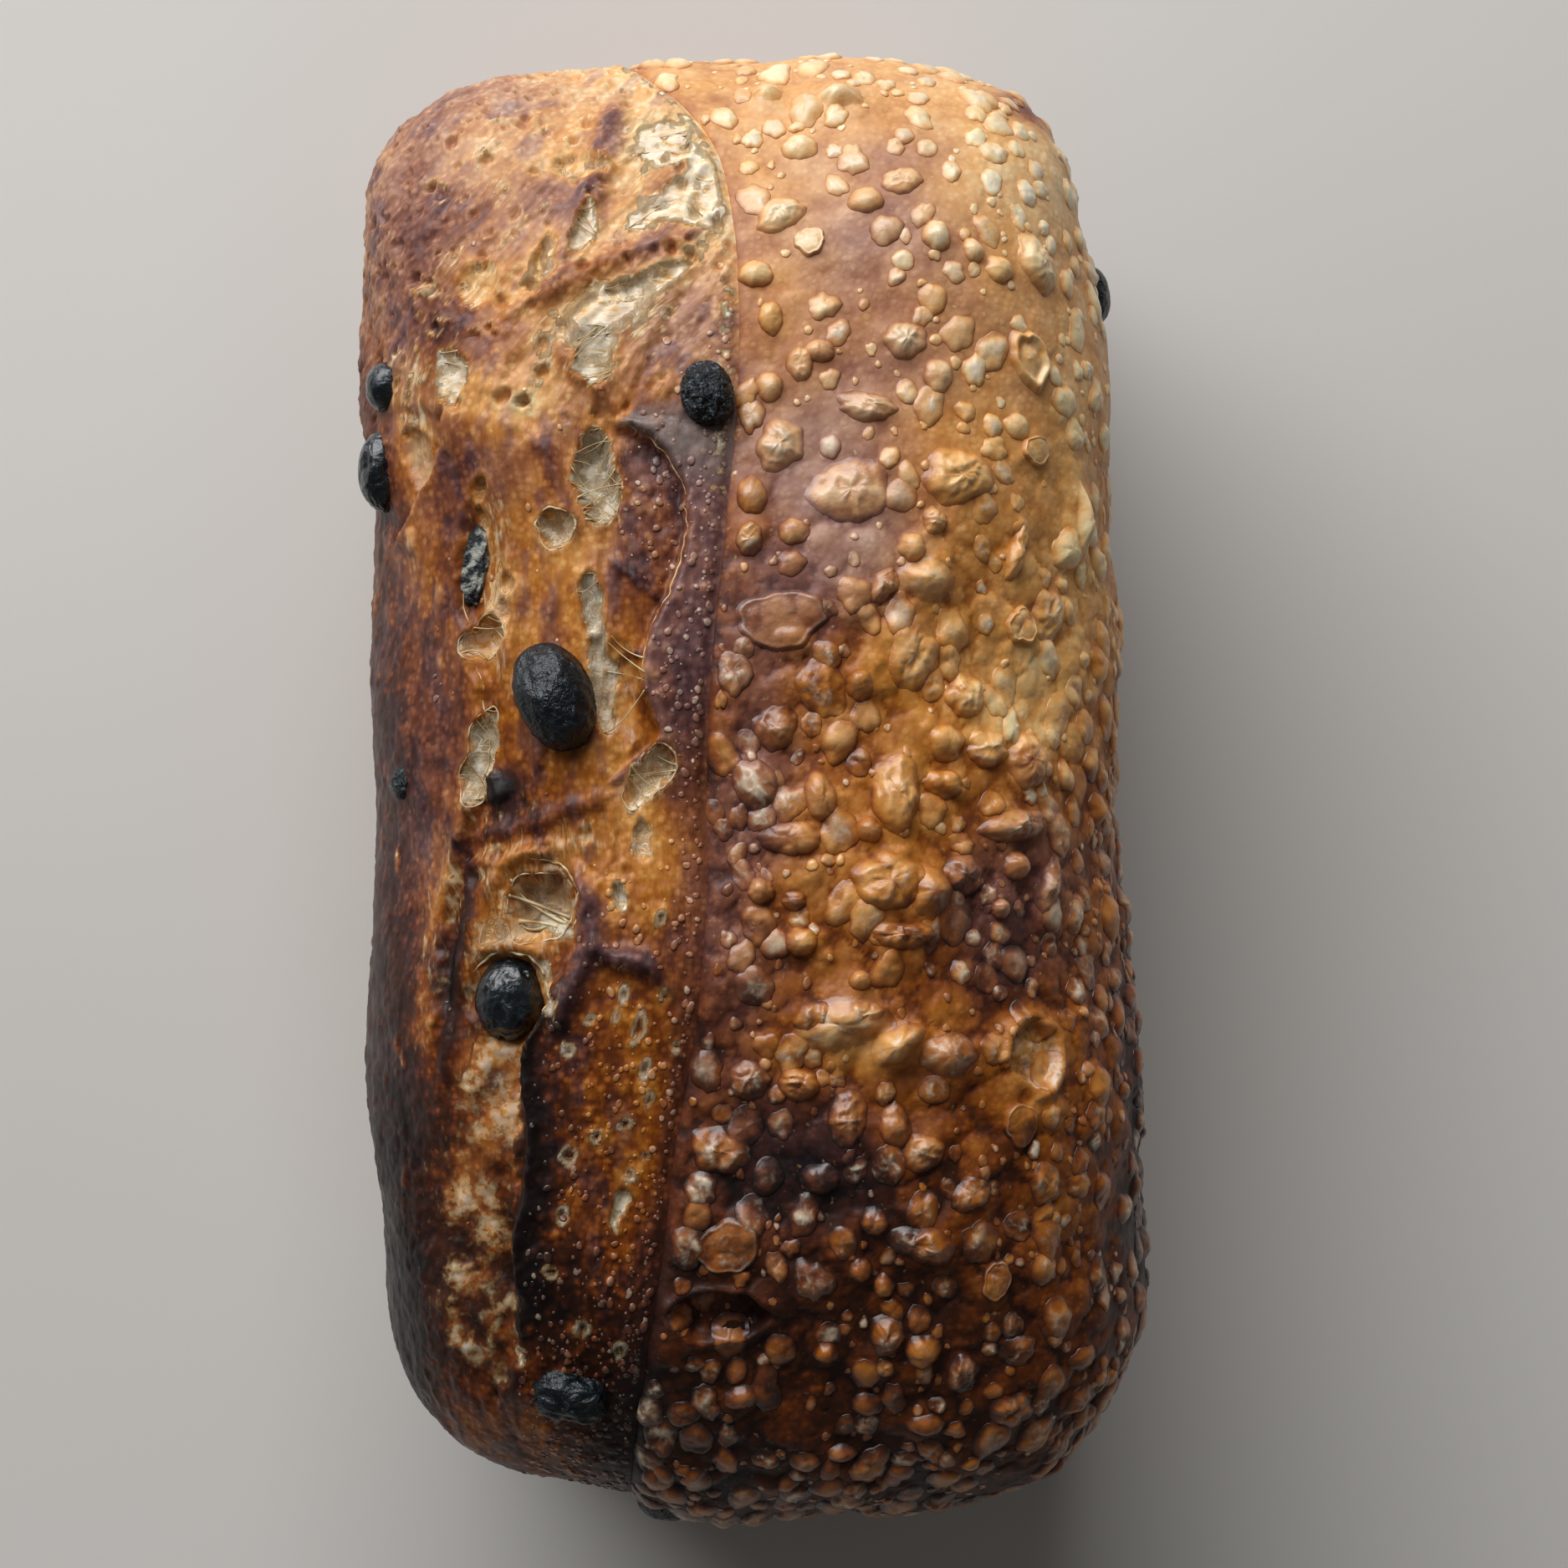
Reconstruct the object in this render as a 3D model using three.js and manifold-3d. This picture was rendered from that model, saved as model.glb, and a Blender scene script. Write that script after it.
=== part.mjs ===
// A sourdough loaf baked in an oblong tin, with whole black olives in the dough.
// Millimetres, +Z up, +Y towards the far end. The origin is under the middle of the flat base.
// The right half of the top is blistered crust. Left of the score line the crust burst open in the oven.
import * as THREE from "three";
import { mergeVertices } from "three/addons/utils/BufferGeometryUtils.js";
import Module from "manifold-3d";

const wasm = await Module();
wasm.setup();

// Driving dimensions of the loaf.
const loafHeight = 104;
const rimHeight = 60; // the dough rose over the tin's edge from here
const halfWidth = 59.6;
const halfLength = 116;
const tinTaper = 5; // each wall leans in this far from rim to base
const baseCorner = 7; // rounding of the bottom edge

// Grid of the solid: cells across, along and down the wall.
const cellsAcross = 42;
const cellsAlong = 80;
const straightRows = 3;
const cornerRows = 3;

const socketGap = 0.35; // clearance between an olive and the bread round it

const bell = (distance, reach) => Math.exp(-((distance / reach) ** 2));
const degrees = (angle) => (angle * Math.PI) / 180;

// ---- Form of the loaf without its relief ----

// The loaf leans a little to the left at its far end and is narrower there.
const leanAt = (y) => -1.3 - 0.0353 * y;
const halfWidthAt = (y) =>
  halfWidth - 0.016 * y - bell(y + 8, 14) + 0.8 * bell(y - 85, 30);

// The far end is bowed. The near end steps back on its left side.
function halfLengthAt(across, side) {
  if (side > 0) return halfLength + 0.2 - 8.5 * (across - 0.12) ** 2;
  return halfLength - 0.4 - 5 / (1 + Math.exp((across + 0.3) / 0.06));
}

// Squareness of the corners seen from above, as a superellipse's power.
const cornerPower = (a, b) =>
  5.4 + Math.max(b, 0) * (2.6 - 0.8 * a) - Math.max(-b, 0) * (0.4 + 0.7 * a);

// The dome's cross-section: how high it stands at a share of the way out to the rim.
const domeWidthPower = 2.6;
const domeHeightPower = 2.2;
const domeShare = (reach) =>
  Math.max(1 - reach ** domeWidthPower, 0) ** (1 / domeHeightPower);

// Turns an even step over the dome's arc into a share of the way out, so that cells are alike in size.
const arcSteps = 400;
const arcTable = [{ length: 0, reach: 0 }];
for (let i = 1; i <= arcSteps; i++) {
  const angle = ((i / arcSteps) * Math.PI) / 2;
  const reach = Math.sin(angle) ** (2 / domeWidthPower);
  const last = arcTable[i - 1];
  const outward = (reach - last.reach) * halfWidth;
  const downward =
    (domeShare(last.reach) - domeShare(reach)) * (loafHeight - rimHeight);
  arcTable.push({ length: last.length + Math.hypot(outward, downward), reach });
}

function evenReach(step) {
  const wanted = Math.min(Math.abs(step), 1) * arcTable[arcSteps].length;
  let i = 1;
  while (i < arcSteps && arcTable[i].length < wanted) i++;
  const [low, high] = [arcTable[i - 1], arcTable[i]];
  const share = (wanted - low.length) / (high.length - low.length);
  return Math.sign(step) * THREE.MathUtils.lerp(low.reach, high.reach, share);
}

// A point of the top, for s across and t along, each from -1 to 1. inset pulls the outline in.
function topPoint(s, t, inset = 0) {
  const [a, b] = [evenReach(s), evenReach(t)];
  const power = cornerPower(a, b);
  const [sideways, lengthways] = [Math.abs(a) ** power, Math.abs(b) ** power];
  const across = a * (1 - lengthways / 2) ** (1 / power);
  const along = b * (1 - sideways / 2) ** (1 / power);
  const reach = (sideways + lengthways - sideways * lengthways) ** (1 / power);
  const y = along * (halfLengthAt(across, along) - inset);
  const x = leanAt(y) + across * (halfWidthAt(y) - inset);
  const z = rimHeight + (loafHeight - rimHeight) * domeShare(reach);
  return new THREE.Vector3(x, y, z);
}

// A point of the wall under the border point (s, t). The first rows go straight down from the rim, the last
// ones round the corner to the base.
function wallPoint(s, t, row) {
  const angle = (Math.max(row - straightRows, 0) / cornerRows) * (Math.PI / 2);
  const z = row < straightRows
    ? THREE.MathUtils.lerp(rimHeight, baseCorner, row / straightRows)
    : baseCorner * (1 - Math.sin(angle));
  const lean = tinTaper * (1 - z / rimHeight);
  const point = topPoint(s, t, lean + baseCorner * (1 - Math.cos(angle)));
  point.z = z;
  return point;
}

// The grid step (s, t) over a place on the plan, found by stepping towards it.
function stepsOver(x, y) {
  let [s, t] = [x / halfWidth, y / halfLength];
  for (let i = 0; i < 60; i++) {
    const point = topPoint(s, t);
    s = THREE.MathUtils.clamp(s + (x - point.x) / 75, -0.995, 0.995);
    t = THREE.MathUtils.clamp(t + (y - point.y) / 140, -0.995, 0.995);
  }
  return [s, t];
}

function normalOver(s, t) {
  const step = 0.01;
  const across = topPoint(s + step, t).sub(topPoint(s - step, t));
  const along = topPoint(s, t + step).sub(topPoint(s, t - step));
  return across.cross(along).normalize();
}

// ---- Relief of the crust ----

// A torn edge: the crust stands up on one side of the path and drops away on the other.
// Each path runs from the far end to the near end. high is 1 where the right side stands up, -1 for the left.
const tornEdgeWidth = 1.8;
const tornEdges = [
  {
    high: 1, rise: 1.5, drop: 1.6, riseFade: 9, dropFade: 6, // the strip beside the score
    path: [[-25, 46], [-21, 50], [-14, 47], [-10, 40], [-11, 28], [-15, 22], [-17, 11], [-14, 4], [-21, -4]],
  },
  {
    high: 1, rise: 1.2, drop: 2, riseFade: 9, dropFade: 7, // over the olives of the left shoulder
    path: [[-48.5, 56], [-50, 48], [-54, 41], [-57.5, 35]],
  },
  {
    high: -1, rise: 1.6, drop: 2.8, riseFade: 8, dropFade: 7, // the long left flap
    path: [[-42, 43], [-45.5, 27], [-39, 8], [-42, -7], [-47.5, -21], [-45, -35], [-49, -50], [-51, -68], [-40, -89]],
  },
  {
    high: 1, rise: 1.8, drop: 2.6, riseFade: 9, dropFade: 7, // the burnt lip over the pale channel
    path: [[-28, -15], [-25.5, -26], [-31, -38], [-35.5, -48], [-34, -58], [-37, -70], [-35, -80], [-37, -86]],
  },
];

// Low welts that cross the burst.
const welts = [
  { height: 1.6, width: 2.2, path: [[-38, 69], [-26, 75], [-9, 82]] },
  { height: 1.4, width: 2.4, path: [[-33, 78], [-27, 90], [-22, 105]] },
  { height: 1.6, width: 2.4, path: [[-44, -30], [-40, -17], [-29, -10], [-20, -5]] },
  { height: 1.5, width: 1.8, path: [[-25, -26], [-18, -29], [-13, -36]] },
];

// Torn pits in the burst: place, half sizes across and along, turn and depth.
const pits = [
  { at: [-17, 73], size: [7, 2], turn: 27, depth: 1.6 },
  { at: [-24, 61], size: [3.5, 4.3], turn: 5, depth: 2.2 },
  { at: [-23, 42], size: [3.5, 7.2], turn: 3, depth: 3 },
  { at: [-30, 35], size: [2.3, 3.3], turn: 0, depth: 2.6 },
  { at: [-41, 19], size: [2.5, 3.4], turn: -12, depth: 3 },
  { at: [-20.5, 8], size: [4.7, 7.7], turn: 0, depth: 1.8 },
  { at: [-13, -2.5], size: [2, 4.7], turn: -8, depth: 2.6 },
  { at: [-32.5, -20], size: [5.2, 5.7], turn: -25, depth: 4.5 },
  { at: [-42, -49], size: [4.8, 9], turn: 0, depth: 3.2 },
  { at: [-43, -70], size: [4.5, 10], turn: -6, depth: 3.2 },
  { at: [-36.5, -35.5], size: [7, 8], turn: 0, depth: 4 },
  { at: [-5, -82], size: [7, 3.7], turn: 0, depth: 2.4 },
];

// The blisters that stand out from a step away: place, half sizes across and along, turn and height.
const largeBlisters = [
  [13, 104, 4.0, 3.0, 0, 2.2], [4, 84, 4.6, 3.1, 35, 2.2], [22, 89, 3.2, 3.0, 0, 1.8], [43, 77, 3.3, 5.4, 25, 2.2],
  [23, 64, 3.4, 3.3, 0, 2.2], [41, 62, 3.3, 5.1, 10, 2.2], [17, 53, 5.0, 2.6, -8, 2.0], [4, 47, 3.8, 4.5, -15, 2.4],
  [15, 40, 6.0, 5.5, 0, 2.2], [31, 43, 5.8, 4.8, 15, 2.8], [4, 21, 7.1, 4.7, 0, 1.9], [26, 27, 4.7, 3.7, 0, 1.8],
  [24, 16, 4.1, 6.2, -8, 2.2], [43, 22, 5.0, 4.6, 0, 2.4], [49, 38, 2.4, 7.0, 0, 2.2], [10, 10, 3.7, 5.0, 10, 2.0],
  [32, 10, 3.5, 3.3, 0, 2.6], [41, 0, 3.5, 4.5, 0, 2.8], [21, -5, 3.7, 6.5, 0, 2.6], [5, -12, 5.2, 2.8, 0, 2.2],
  [39, -10, 6.3, 2.8, 12, 2.4], [20, -18, 5.7, 4.5, 20, 3.0], [44, -18, 2.6, 4.8, -22, 2.6], [13, -39, 6.9, 3.3, 4, 3.0],
  [29, -43, 4.5, 3.7, 0, 2.2], [41, -43, 3.8, 4.8, 0, 1.8], [-1, -48, 3.2, 3.1, 0, 2.6], [14, -53, 3.0, 4.7, -10, 2.4],
  [-5, -58, 4.7, 4.0, -25, 2.6], [-4, -72, 5.2, 4.7, 15, 2.0], [25, -72, 5.2, 3.4, -10, 3.0], [25, -88, 3.2, 3.2, 0, 2.4],
].map(([x, y, across, along, turn, height]) => ({ at: [x, y], size: [across, along], turn, height }));

// The smaller blisters follow the golden ratio over the right half, so that they spread evenly.
const scatterCount = 110;
const scatterArea = { left: -4, right: 56, near: -106, far: 108 };
const smallBlisters = [];
for (let i = 1; i <= scatterCount; i++) {
  const x = THREE.MathUtils.lerp(scatterArea.left, scatterArea.right, (i * 0.7548777) % 1);
  const y = THREE.MathUtils.lerp(scatterArea.near, scatterArea.far, (i * 0.5698403) % 1);
  const size = 2 + 1.2 * ((i * 0.3819660) % 1);
  const crowded = largeBlisters.some(({ at }) => Math.hypot(at[0] - x, at[1] - y) < 6);
  if (!crowded) smallBlisters.push({ at: [x, y], size: [size, size], turn: 0, height: 1.3 });
}
const blisters = [...largeBlisters, ...smallBlisters];

const pathSteps = 60;
for (const mark of [...tornEdges, ...welts]) {
  const knots = mark.path.map(([x, y]) => new THREE.Vector2(x, y));
  mark.line = new THREE.SplineCurve(knots).getPoints(pathSteps);
}

// Distance from a place to a line, positive on the line's left as it runs, and how far inside its ends it is.
function distanceTo(line, x, y) {
  let best = { away: Infinity };
  for (let i = 0; i < line.length - 1; i++) {
    const [start, end] = [line[i], line[i + 1]];
    const [dx, dy] = [end.x - start.x, end.y - start.y];
    const along = THREE.MathUtils.clamp(
      ((x - start.x) * dx + (y - start.y) * dy) / (dx * dx + dy * dy), 0, 1);
    const [ox, oy] = [x - start.x - along * dx, y - start.y - along * dy];
    const away = Math.hypot(ox, oy);
    if (away < best.away) {
      best = { away, side: Math.sign(dx * oy - dy * ox), share: (i + along) / (line.length - 1) };
    }
  }
  const endFade = Math.min(1, 6 * Math.min(best.share, 1 - best.share) + 0.1);
  return { side: best.side * best.away, away: best.away, endFade };
}

// An oval mark lies in the crust's own slope, with its long axes turned from +X.
for (const mark of [...pits, ...blisters]) {
  const [s, t] = stepsOver(...mark.at);
  mark.middle = topPoint(s, t);
  mark.out = normalOver(s, t);
  const turned = new THREE.Vector3(Math.cos(degrees(mark.turn)), Math.sin(degrees(mark.turn)), 0);
  mark.along = new THREE.Vector3().crossVectors(mark.out, turned).normalize();
  mark.across = new THREE.Vector3().crossVectors(mark.along, mark.out);
}

// Share of the way out to an oval's edge, 0 at its middle and 1 at the edge.
function insideOval({ middle, across, along, out, size }, point) {
  const from = point.clone().sub(middle);
  return Math.hypot(from.dot(across) / size[0], from.dot(along) / size[1], from.dot(out) / 8);
}

// Gentle unevenness of the whole crust.
const uneven = ({ x, y, z }) =>
  0.7 * Math.sin(0.071 * x + 0.043 * y + 1.3) +
  0.5 * Math.sin(0.128 * y - 0.06 * x + 0.05 * z) +
  0.35 * Math.sin(0.21 * x + 0.17 * y + 0.12 * z + 2.1);

function relief(point) {
  const { x, y } = point;
  let height = 0;
  for (const { line, high, rise, drop, riseFade, dropFade } of tornEdges) {
    const { side, endFade } = distanceTo(line, x, y);
    const raised = rise * Math.exp(-Math.max(side * high, 0) / riseFade);
    const dropped = -drop * Math.exp(Math.min(side * high, 0) / dropFade);
    const share = THREE.MathUtils.smoothstep(side * high, -tornEdgeWidth, tornEdgeWidth);
    height += endFade * THREE.MathUtils.lerp(dropped, raised, share);
  }
  for (const { line, height: crest, width } of welts) {
    const { away, endFade } = distanceTo(line, x, y);
    height += crest * endFade * bell(away, width);
  }
  for (const pit of pits) {
    height -= pit.depth * bell(insideOval(pit, point), 0.95);
  }
  let bubble = 0;
  for (const blister of blisters) {
    const out = insideOval(blister, point);
    if (out < 1) bubble = Math.max(bubble, blister.height * Math.sqrt(1 - out * out));
  }
  return height + bubble;
}

// ---- The loaf as one closed mesh ----

function loafGeometry() {
  const points = [];
  const faces = [];
  const topIndex = (i, j) => j * (cellsAcross + 1) + i;
  const step = (i, cells) => (2 * i) / cells - 1;
  for (let j = 0; j <= cellsAlong; j++) {
    for (let i = 0; i <= cellsAcross; i++) {
      points.push(topPoint(step(i, cellsAcross), step(j, cellsAlong)));
    }
  }
  const quad = (a, b, c, d) => faces.push(a, b, c, a, c, d);
  for (let j = 0; j < cellsAlong; j++) {
    for (let i = 0; i < cellsAcross; i++) {
      quad(topIndex(i, j), topIndex(i + 1, j), topIndex(i + 1, j + 1), topIndex(i, j + 1));
    }
  }

  // The top's border, once round, counter-clockwise from above.
  const border = [];
  for (let i = 0; i < cellsAcross; i++) border.push([i, 0]);
  for (let j = 0; j < cellsAlong; j++) border.push([cellsAcross, j]);
  for (let i = cellsAcross; i > 0; i--) border.push([i, cellsAlong]);
  for (let j = cellsAlong; j > 0; j--) border.push([0, j]);

  let ring = border.map(([i, j]) => topIndex(i, j));
  for (let row = 1; row <= straightRows + cornerRows; row++) {
    const next = border.map(([i, j]) => {
      points.push(wallPoint(step(i, cellsAcross), step(j, cellsAlong), row));
      return points.length - 1;
    });
    ring.forEach((corner, k) => {
      const after = (k + 1) % ring.length;
      quad(corner, next[k], next[after], ring[after]);
    });
    ring = next;
  }
  points.push(new THREE.Vector3(0, 0, 0));
  const middle = points.length - 1;
  ring.forEach((corner, k) => faces.push(middle, ring[(k + 1) % ring.length], corner));

  const geometry = new THREE.BufferGeometry().setFromPoints(points);
  geometry.setIndex(faces);
  geometry.computeVertexNormals();
  const position = geometry.getAttribute("position");
  const normal = geometry.getAttribute("normal");
  points.forEach((point, k) => {
    const offBase = THREE.MathUtils.smoothstep(point.z, 0, 25);
    const onTop = THREE.MathUtils.smoothstep(point.z, rimHeight - 12, rimHeight + 14);
    const height = offBase * uneven(point) + onTop * relief(point);
    const moved = new THREE.Vector3().fromBufferAttribute(normal, k).multiplyScalar(height).add(point);
    position.setXYZ(k, ...moved);
  });
  return geometry;
}

function solidOf(geometry) {
  const bare = geometry.clone();
  bare.deleteAttribute("normal");
  bare.deleteAttribute("uv");
  const merged = mergeVertices(bare, 1e-3);
  return new wasm.Manifold(new wasm.Mesh({
    numProp: 3,
    vertProperties: new Float32Array(merged.getAttribute("position").array),
    triVerts: new Uint32Array(merged.index.array),
  }));
}

function geometryOf(solid) {
  const { vertProperties, triVerts } = solid.getMesh();
  const geometry = new THREE.BufferGeometry();
  geometry.setAttribute("position", new THREE.BufferAttribute(vertProperties, 3));
  geometry.setIndex(new THREE.BufferAttribute(triVerts, 1));
  geometry.computeVertexNormals();
  return geometry;
}

// ---- The olives that show ----

// Place on the plan, half sizes (along its stone, across, thick), turn of its long side from +X and how far its
// middle stands above the crust. out pushes one off the shoulder, down the wall.
const olives = [
  { name: "olive_by_score", at: [-7, 55], size: [5.1, 4.1, 4.3], turn: 100, lift: 0.2 },
  { name: "olive_large", at: [-29.3, 9.4], size: [8.2, 6.3, 6], turn: 112, lift: 2.2 },
  { name: "olive_in_hollow", at: [-37.5, -35.5], size: [6.6, 5.4, 5.5], turn: 80, lift: 2.6 },
  { name: "olive_near_left", at: [-27.4, -94.5], size: [6, 4.7, 4.4], turn: -8, lift: 0.6 },
  { name: "olive_near_end", at: [-13.4, -112], size: [5, 4.6, 4.6], turn: 20, lift: 0.6, below: 8 },
  { name: "olive_left_far", at: [-57, 59.5], size: [4.4, 3.6, 3.6], turn: 90, lift: 0 },
  { name: "olive_left_mid", at: [-58.3, 47], size: [6.6, 4, 4], turn: 88, lift: 0.2 },
  { name: "olive_left_small", at: [-53.5, -2], size: [3, 2.4, 2.6], turn: 70, lift: -0.4 },
  { name: "olive_right", at: [57.5, 78], size: [5.6, 4.4, 4.4], turn: 92, lift: -1.2 },
  { name: "olive_floured", at: [-42.8, 30], size: [6.6, 3, 3], turn: 82, lift: -0.2 },
];
const oliveRound = 12;
const oliveRows = 8;

// An olive's skin: an oval body, a little fuller at one end and dented round its middle.
function oliveGeometry([long, wide, thick]) {
  const geometry = new THREE.SphereGeometry(1, oliveRound, oliveRows);
  const position = geometry.getAttribute("position");
  for (let k = 0; k < position.count; k++) {
    const [x, y, z] = [position.getX(k), position.getY(k), position.getZ(k)];
    const full = 1 - 0.06 * y - 0.04 * bell(y - 0.2, 0.3);
    position.setXYZ(k, y * long, x * wide * full, -z * thick * full);
  }
  geometry.rotateX(Math.PI);
  return geometry;
}

function placeOlive(mesh, { at, turn, lift, below = 0 }) {
  const [s, t] = stepsOver(...at);
  const out = normalOver(s, t);
  mesh.position.copy(topPoint(s, t));
  mesh.position.addScaledVector(out, lift + relief(mesh.position));
  mesh.position.z -= below;
  const lengthways = new THREE.Vector3(Math.cos(degrees(turn)), Math.sin(degrees(turn)), 0);
  const across = new THREE.Vector3().crossVectors(out, lengthways).normalize();
  lengthways.crossVectors(across, out);
  mesh.quaternion.setFromRotationMatrix(new THREE.Matrix4().makeBasis(lengthways, across, out));
  mesh.updateMatrixWorld(true);
}

const oliveSkin = new THREE.MeshStandardMaterial({ color: "#15171a", roughness: 0.4, metalness: 0 });
const crust = new THREE.MeshStandardMaterial({ color: "#a15f2a", roughness: 0.5, metalness: 0 });

const loafGroup = new THREE.Group();
let bread = solidOf(loafGeometry());
for (const olive of olives) {
  const mesh = new THREE.Mesh(oliveGeometry(olive.size), oliveSkin);
  mesh.name = olive.name;
  placeOlive(mesh, olive);
  loafGroup.add(mesh);
  const socket = oliveGeometry(olive.size.map((half) => half + socketGap)).applyMatrix4(mesh.matrixWorld);
  bread = bread.subtract(solidOf(socket));
}
const [largest] = bread.decompose().sort((a, b) => b.volume() - a.volume());
const loafMesh = new THREE.Mesh(geometryOf(largest), crust);
loafMesh.name = "loaf";
loafGroup.add(loafMesh);

// The origin is set under the middle of the whole.
const reach = new THREE.Box3().setFromObject(loafGroup, true);
const middle = reach.getCenter(new THREE.Vector3());
loafGroup.position.set(-middle.x, -middle.y, 0);

export default loafGroup;
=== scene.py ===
from functools import partial

import bpy
import numpy as np
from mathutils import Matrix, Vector


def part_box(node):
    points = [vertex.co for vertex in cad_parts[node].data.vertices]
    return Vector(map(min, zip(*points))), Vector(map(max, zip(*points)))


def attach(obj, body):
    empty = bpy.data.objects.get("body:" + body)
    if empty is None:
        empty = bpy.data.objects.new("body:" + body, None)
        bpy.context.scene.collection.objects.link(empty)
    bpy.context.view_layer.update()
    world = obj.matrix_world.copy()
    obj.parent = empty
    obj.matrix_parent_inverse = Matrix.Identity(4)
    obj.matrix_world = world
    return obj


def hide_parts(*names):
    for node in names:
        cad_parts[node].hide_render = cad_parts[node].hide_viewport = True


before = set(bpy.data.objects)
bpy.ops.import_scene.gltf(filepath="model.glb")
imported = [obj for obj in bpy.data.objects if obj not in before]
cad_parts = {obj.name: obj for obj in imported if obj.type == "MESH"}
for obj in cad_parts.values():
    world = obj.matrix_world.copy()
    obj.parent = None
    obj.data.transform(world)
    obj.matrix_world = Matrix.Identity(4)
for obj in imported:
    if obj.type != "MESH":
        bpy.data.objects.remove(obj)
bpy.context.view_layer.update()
print("frame loaded")


loafForm = {
    "halfWidth": 59.6,
    "halfLength": 116,
    "height": 104,
    "rim": 60,  # the dough rose over the tin's edge from here
    "top": 61,  # the crust above this is the top, which can blister and tear
    "taper": 5,  # each wall leans in this far from rim to base
    "baseCorner": 7,
    "rimRoll": 1.5,  # radius of the crust's edge where it rolls over the tin
    "middle": -1.3,  # where the loaf's middle lies across, halfway along
    "slant": 0.0353,  # how far it shifts across for each millimetre along
    "originShift": (0.84, 0.40, 0),  # puts the origin under the middle of the whole
}


def bell(away, reach):
    # falls off both ways from 1 as the bell curve does
    return np.exp(-((away / reach) ** 2))


def smoothStep(value, low, high):
    # 0 below low, 1 above high, with a smooth rise between
    share = np.clip((value - low) / (high - low), 0, 1)
    return share * share * (3 - 2 * share)


def mix(low, high, share):
    # the straight blend from low to high
    return low + (high - low) * share


def unit(vectors):
    # each vector divided by its own length
    return vectors / np.linalg.norm(vectors, axis=-1, keepdims=True)


def leanAt(y):
    # the middle of the loaf runs aslant, in a straight line
    return loafForm["middle"] - loafForm["slant"] * y


def halfWidthAt(y):
    # narrower towards the far end in a straight line, with a bell-shaped waist and far shoulders
    return loafForm["halfWidth"] - 0.016 * y - bell(y + 8, 14) + 0.8 * bell(y - 85, 30)


def domeShare(reach):
    # height of the dome, as a superellipse of the share of the way out to the rim
    return np.maximum(1 - reach**2.6, 0) ** (1 / 2.2)


arcAngles = np.linspace(0, np.pi / 2, 2001)
arcReach = np.sin(arcAngles) ** (2 / 2.6)
arcSteps = np.hypot(
    np.diff(arcReach) * loafForm["halfWidth"],
    np.diff(domeShare(arcReach)) * (loafForm["height"] - loafForm["rim"]),
)
arcLengths = np.concatenate([[0], np.cumsum(arcSteps)]) / arcSteps.sum()


def evenReach(step):
    # an even step over the dome's arc, turned into a share of the way out
    return np.sign(step) * np.interp(np.abs(step), arcLengths, arcReach)


def topPoint(s, t, inset=0):
    # s goes across and t along, from -1 to 1: a square pulled out to a superellipse, under a dome
    a, b = evenReach(s), evenReach(t)
    power = 5.4 + np.maximum(b, 0) * (2.6 - 0.8 * a) - np.maximum(-b, 0) * (0.4 + 0.7 * a)
    sideways, lengthways = np.abs(a) ** power, np.abs(b) ** power
    across = a * (1 - lengthways / 2) ** (1 / power)
    along = b * (1 - sideways / 2) ** (1 / power)
    reach = (sideways + lengthways - sideways * lengthways) ** (1 / power)
    farLength = loafForm["halfLength"] + 0.2 - 8.5 * (across - 0.12) ** 2
    nearLength = loafForm["halfLength"] - 0.4 - 5 / (1 + np.exp((across + 0.3) / 0.06))
    y = along * (np.where(along > 0, farLength, nearLength) - inset)
    x = leanAt(y) + across * (halfWidthAt(y) - inset)
    z = loafForm["rim"] + (loafForm["height"] - loafForm["rim"]) * domeShare(reach)
    return np.stack(np.broadcast_arrays(x, y, z), -1)


def gridNormals(points):
    # cross product of the differences along both ways of the grid
    return unit(np.cross(np.gradient(points, axis=1), np.gradient(points, axis=0)))


def stepsOver(x, y):
    # the grid steps over places on the plan, found by stepping towards them
    s, t = x / loafForm["halfWidth"], y / loafForm["halfLength"]
    for _ in range(80):
        point = topPoint(s, t)
        s = np.clip(s + (x - point[..., 0]) / 80, -0.998, 0.998)
        t = np.clip(t + (y - point[..., 1]) / 150, -0.998, 0.998)
    return s, t


def cornerHash(corner, seed):
    # whole-number places and a seed, multiplied by primes and shifted into a large whole number
    mixed = corner[..., 0] * 73856093 ^ corner[..., 1] * 19349663 ^ corner[..., 2] * 83492791
    mixed = (mixed ^ (seed * 2654435761)) & 0xFFFFFFFF
    for shift, prime in ((15, 2246822519), (13, 3266489917)):
        mixed = ((mixed ^ (mixed >> shift)) * prime) & 0xFFFFFFFF
    return mixed ^ (mixed >> 16)


def waves(points, size, seed=0):
    # gradient noise, about -1 to 1: each lattice corner has its own slope, and they blend smoothly
    place = points / size
    cell = np.floor(place).astype(np.int64)
    within = place - cell
    blend = within**3 * (within * (within * 6 - 15) + 10)
    total = np.zeros(points.shape[:-1])
    for offset in np.ndindex(2, 2, 2):
        mixed = cornerHash(cell + offset, seed)
        away = within - offset
        slope = (
            ((mixed & 1023) / 511.5 - 1) * away[..., 0]
            + (((mixed >> 10) & 1023) / 511.5 - 1) * away[..., 1]
            + (((mixed >> 20) & 1023) / 511.5 - 1) * away[..., 2]
        )
        weight = np.prod(np.where(np.array(offset) == 1, blend, 1 - blend), axis=-1)
        total += slope * weight
    return total * 1.4


def noises(points, size, seeds):
    # one such noise for each seed, side by side
    return np.stack([waves(points, size, seed) for seed in seeds], -1)


def layeredWaves(points, size, layers=3, seed=0):
    # each layer of noise is half the size and half the height of the one before
    total = sum(waves(points, size / 2**k, seed + k) / 2**k for k in range(layers))
    return total / (2 - 2 ** (1 - layers))


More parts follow.
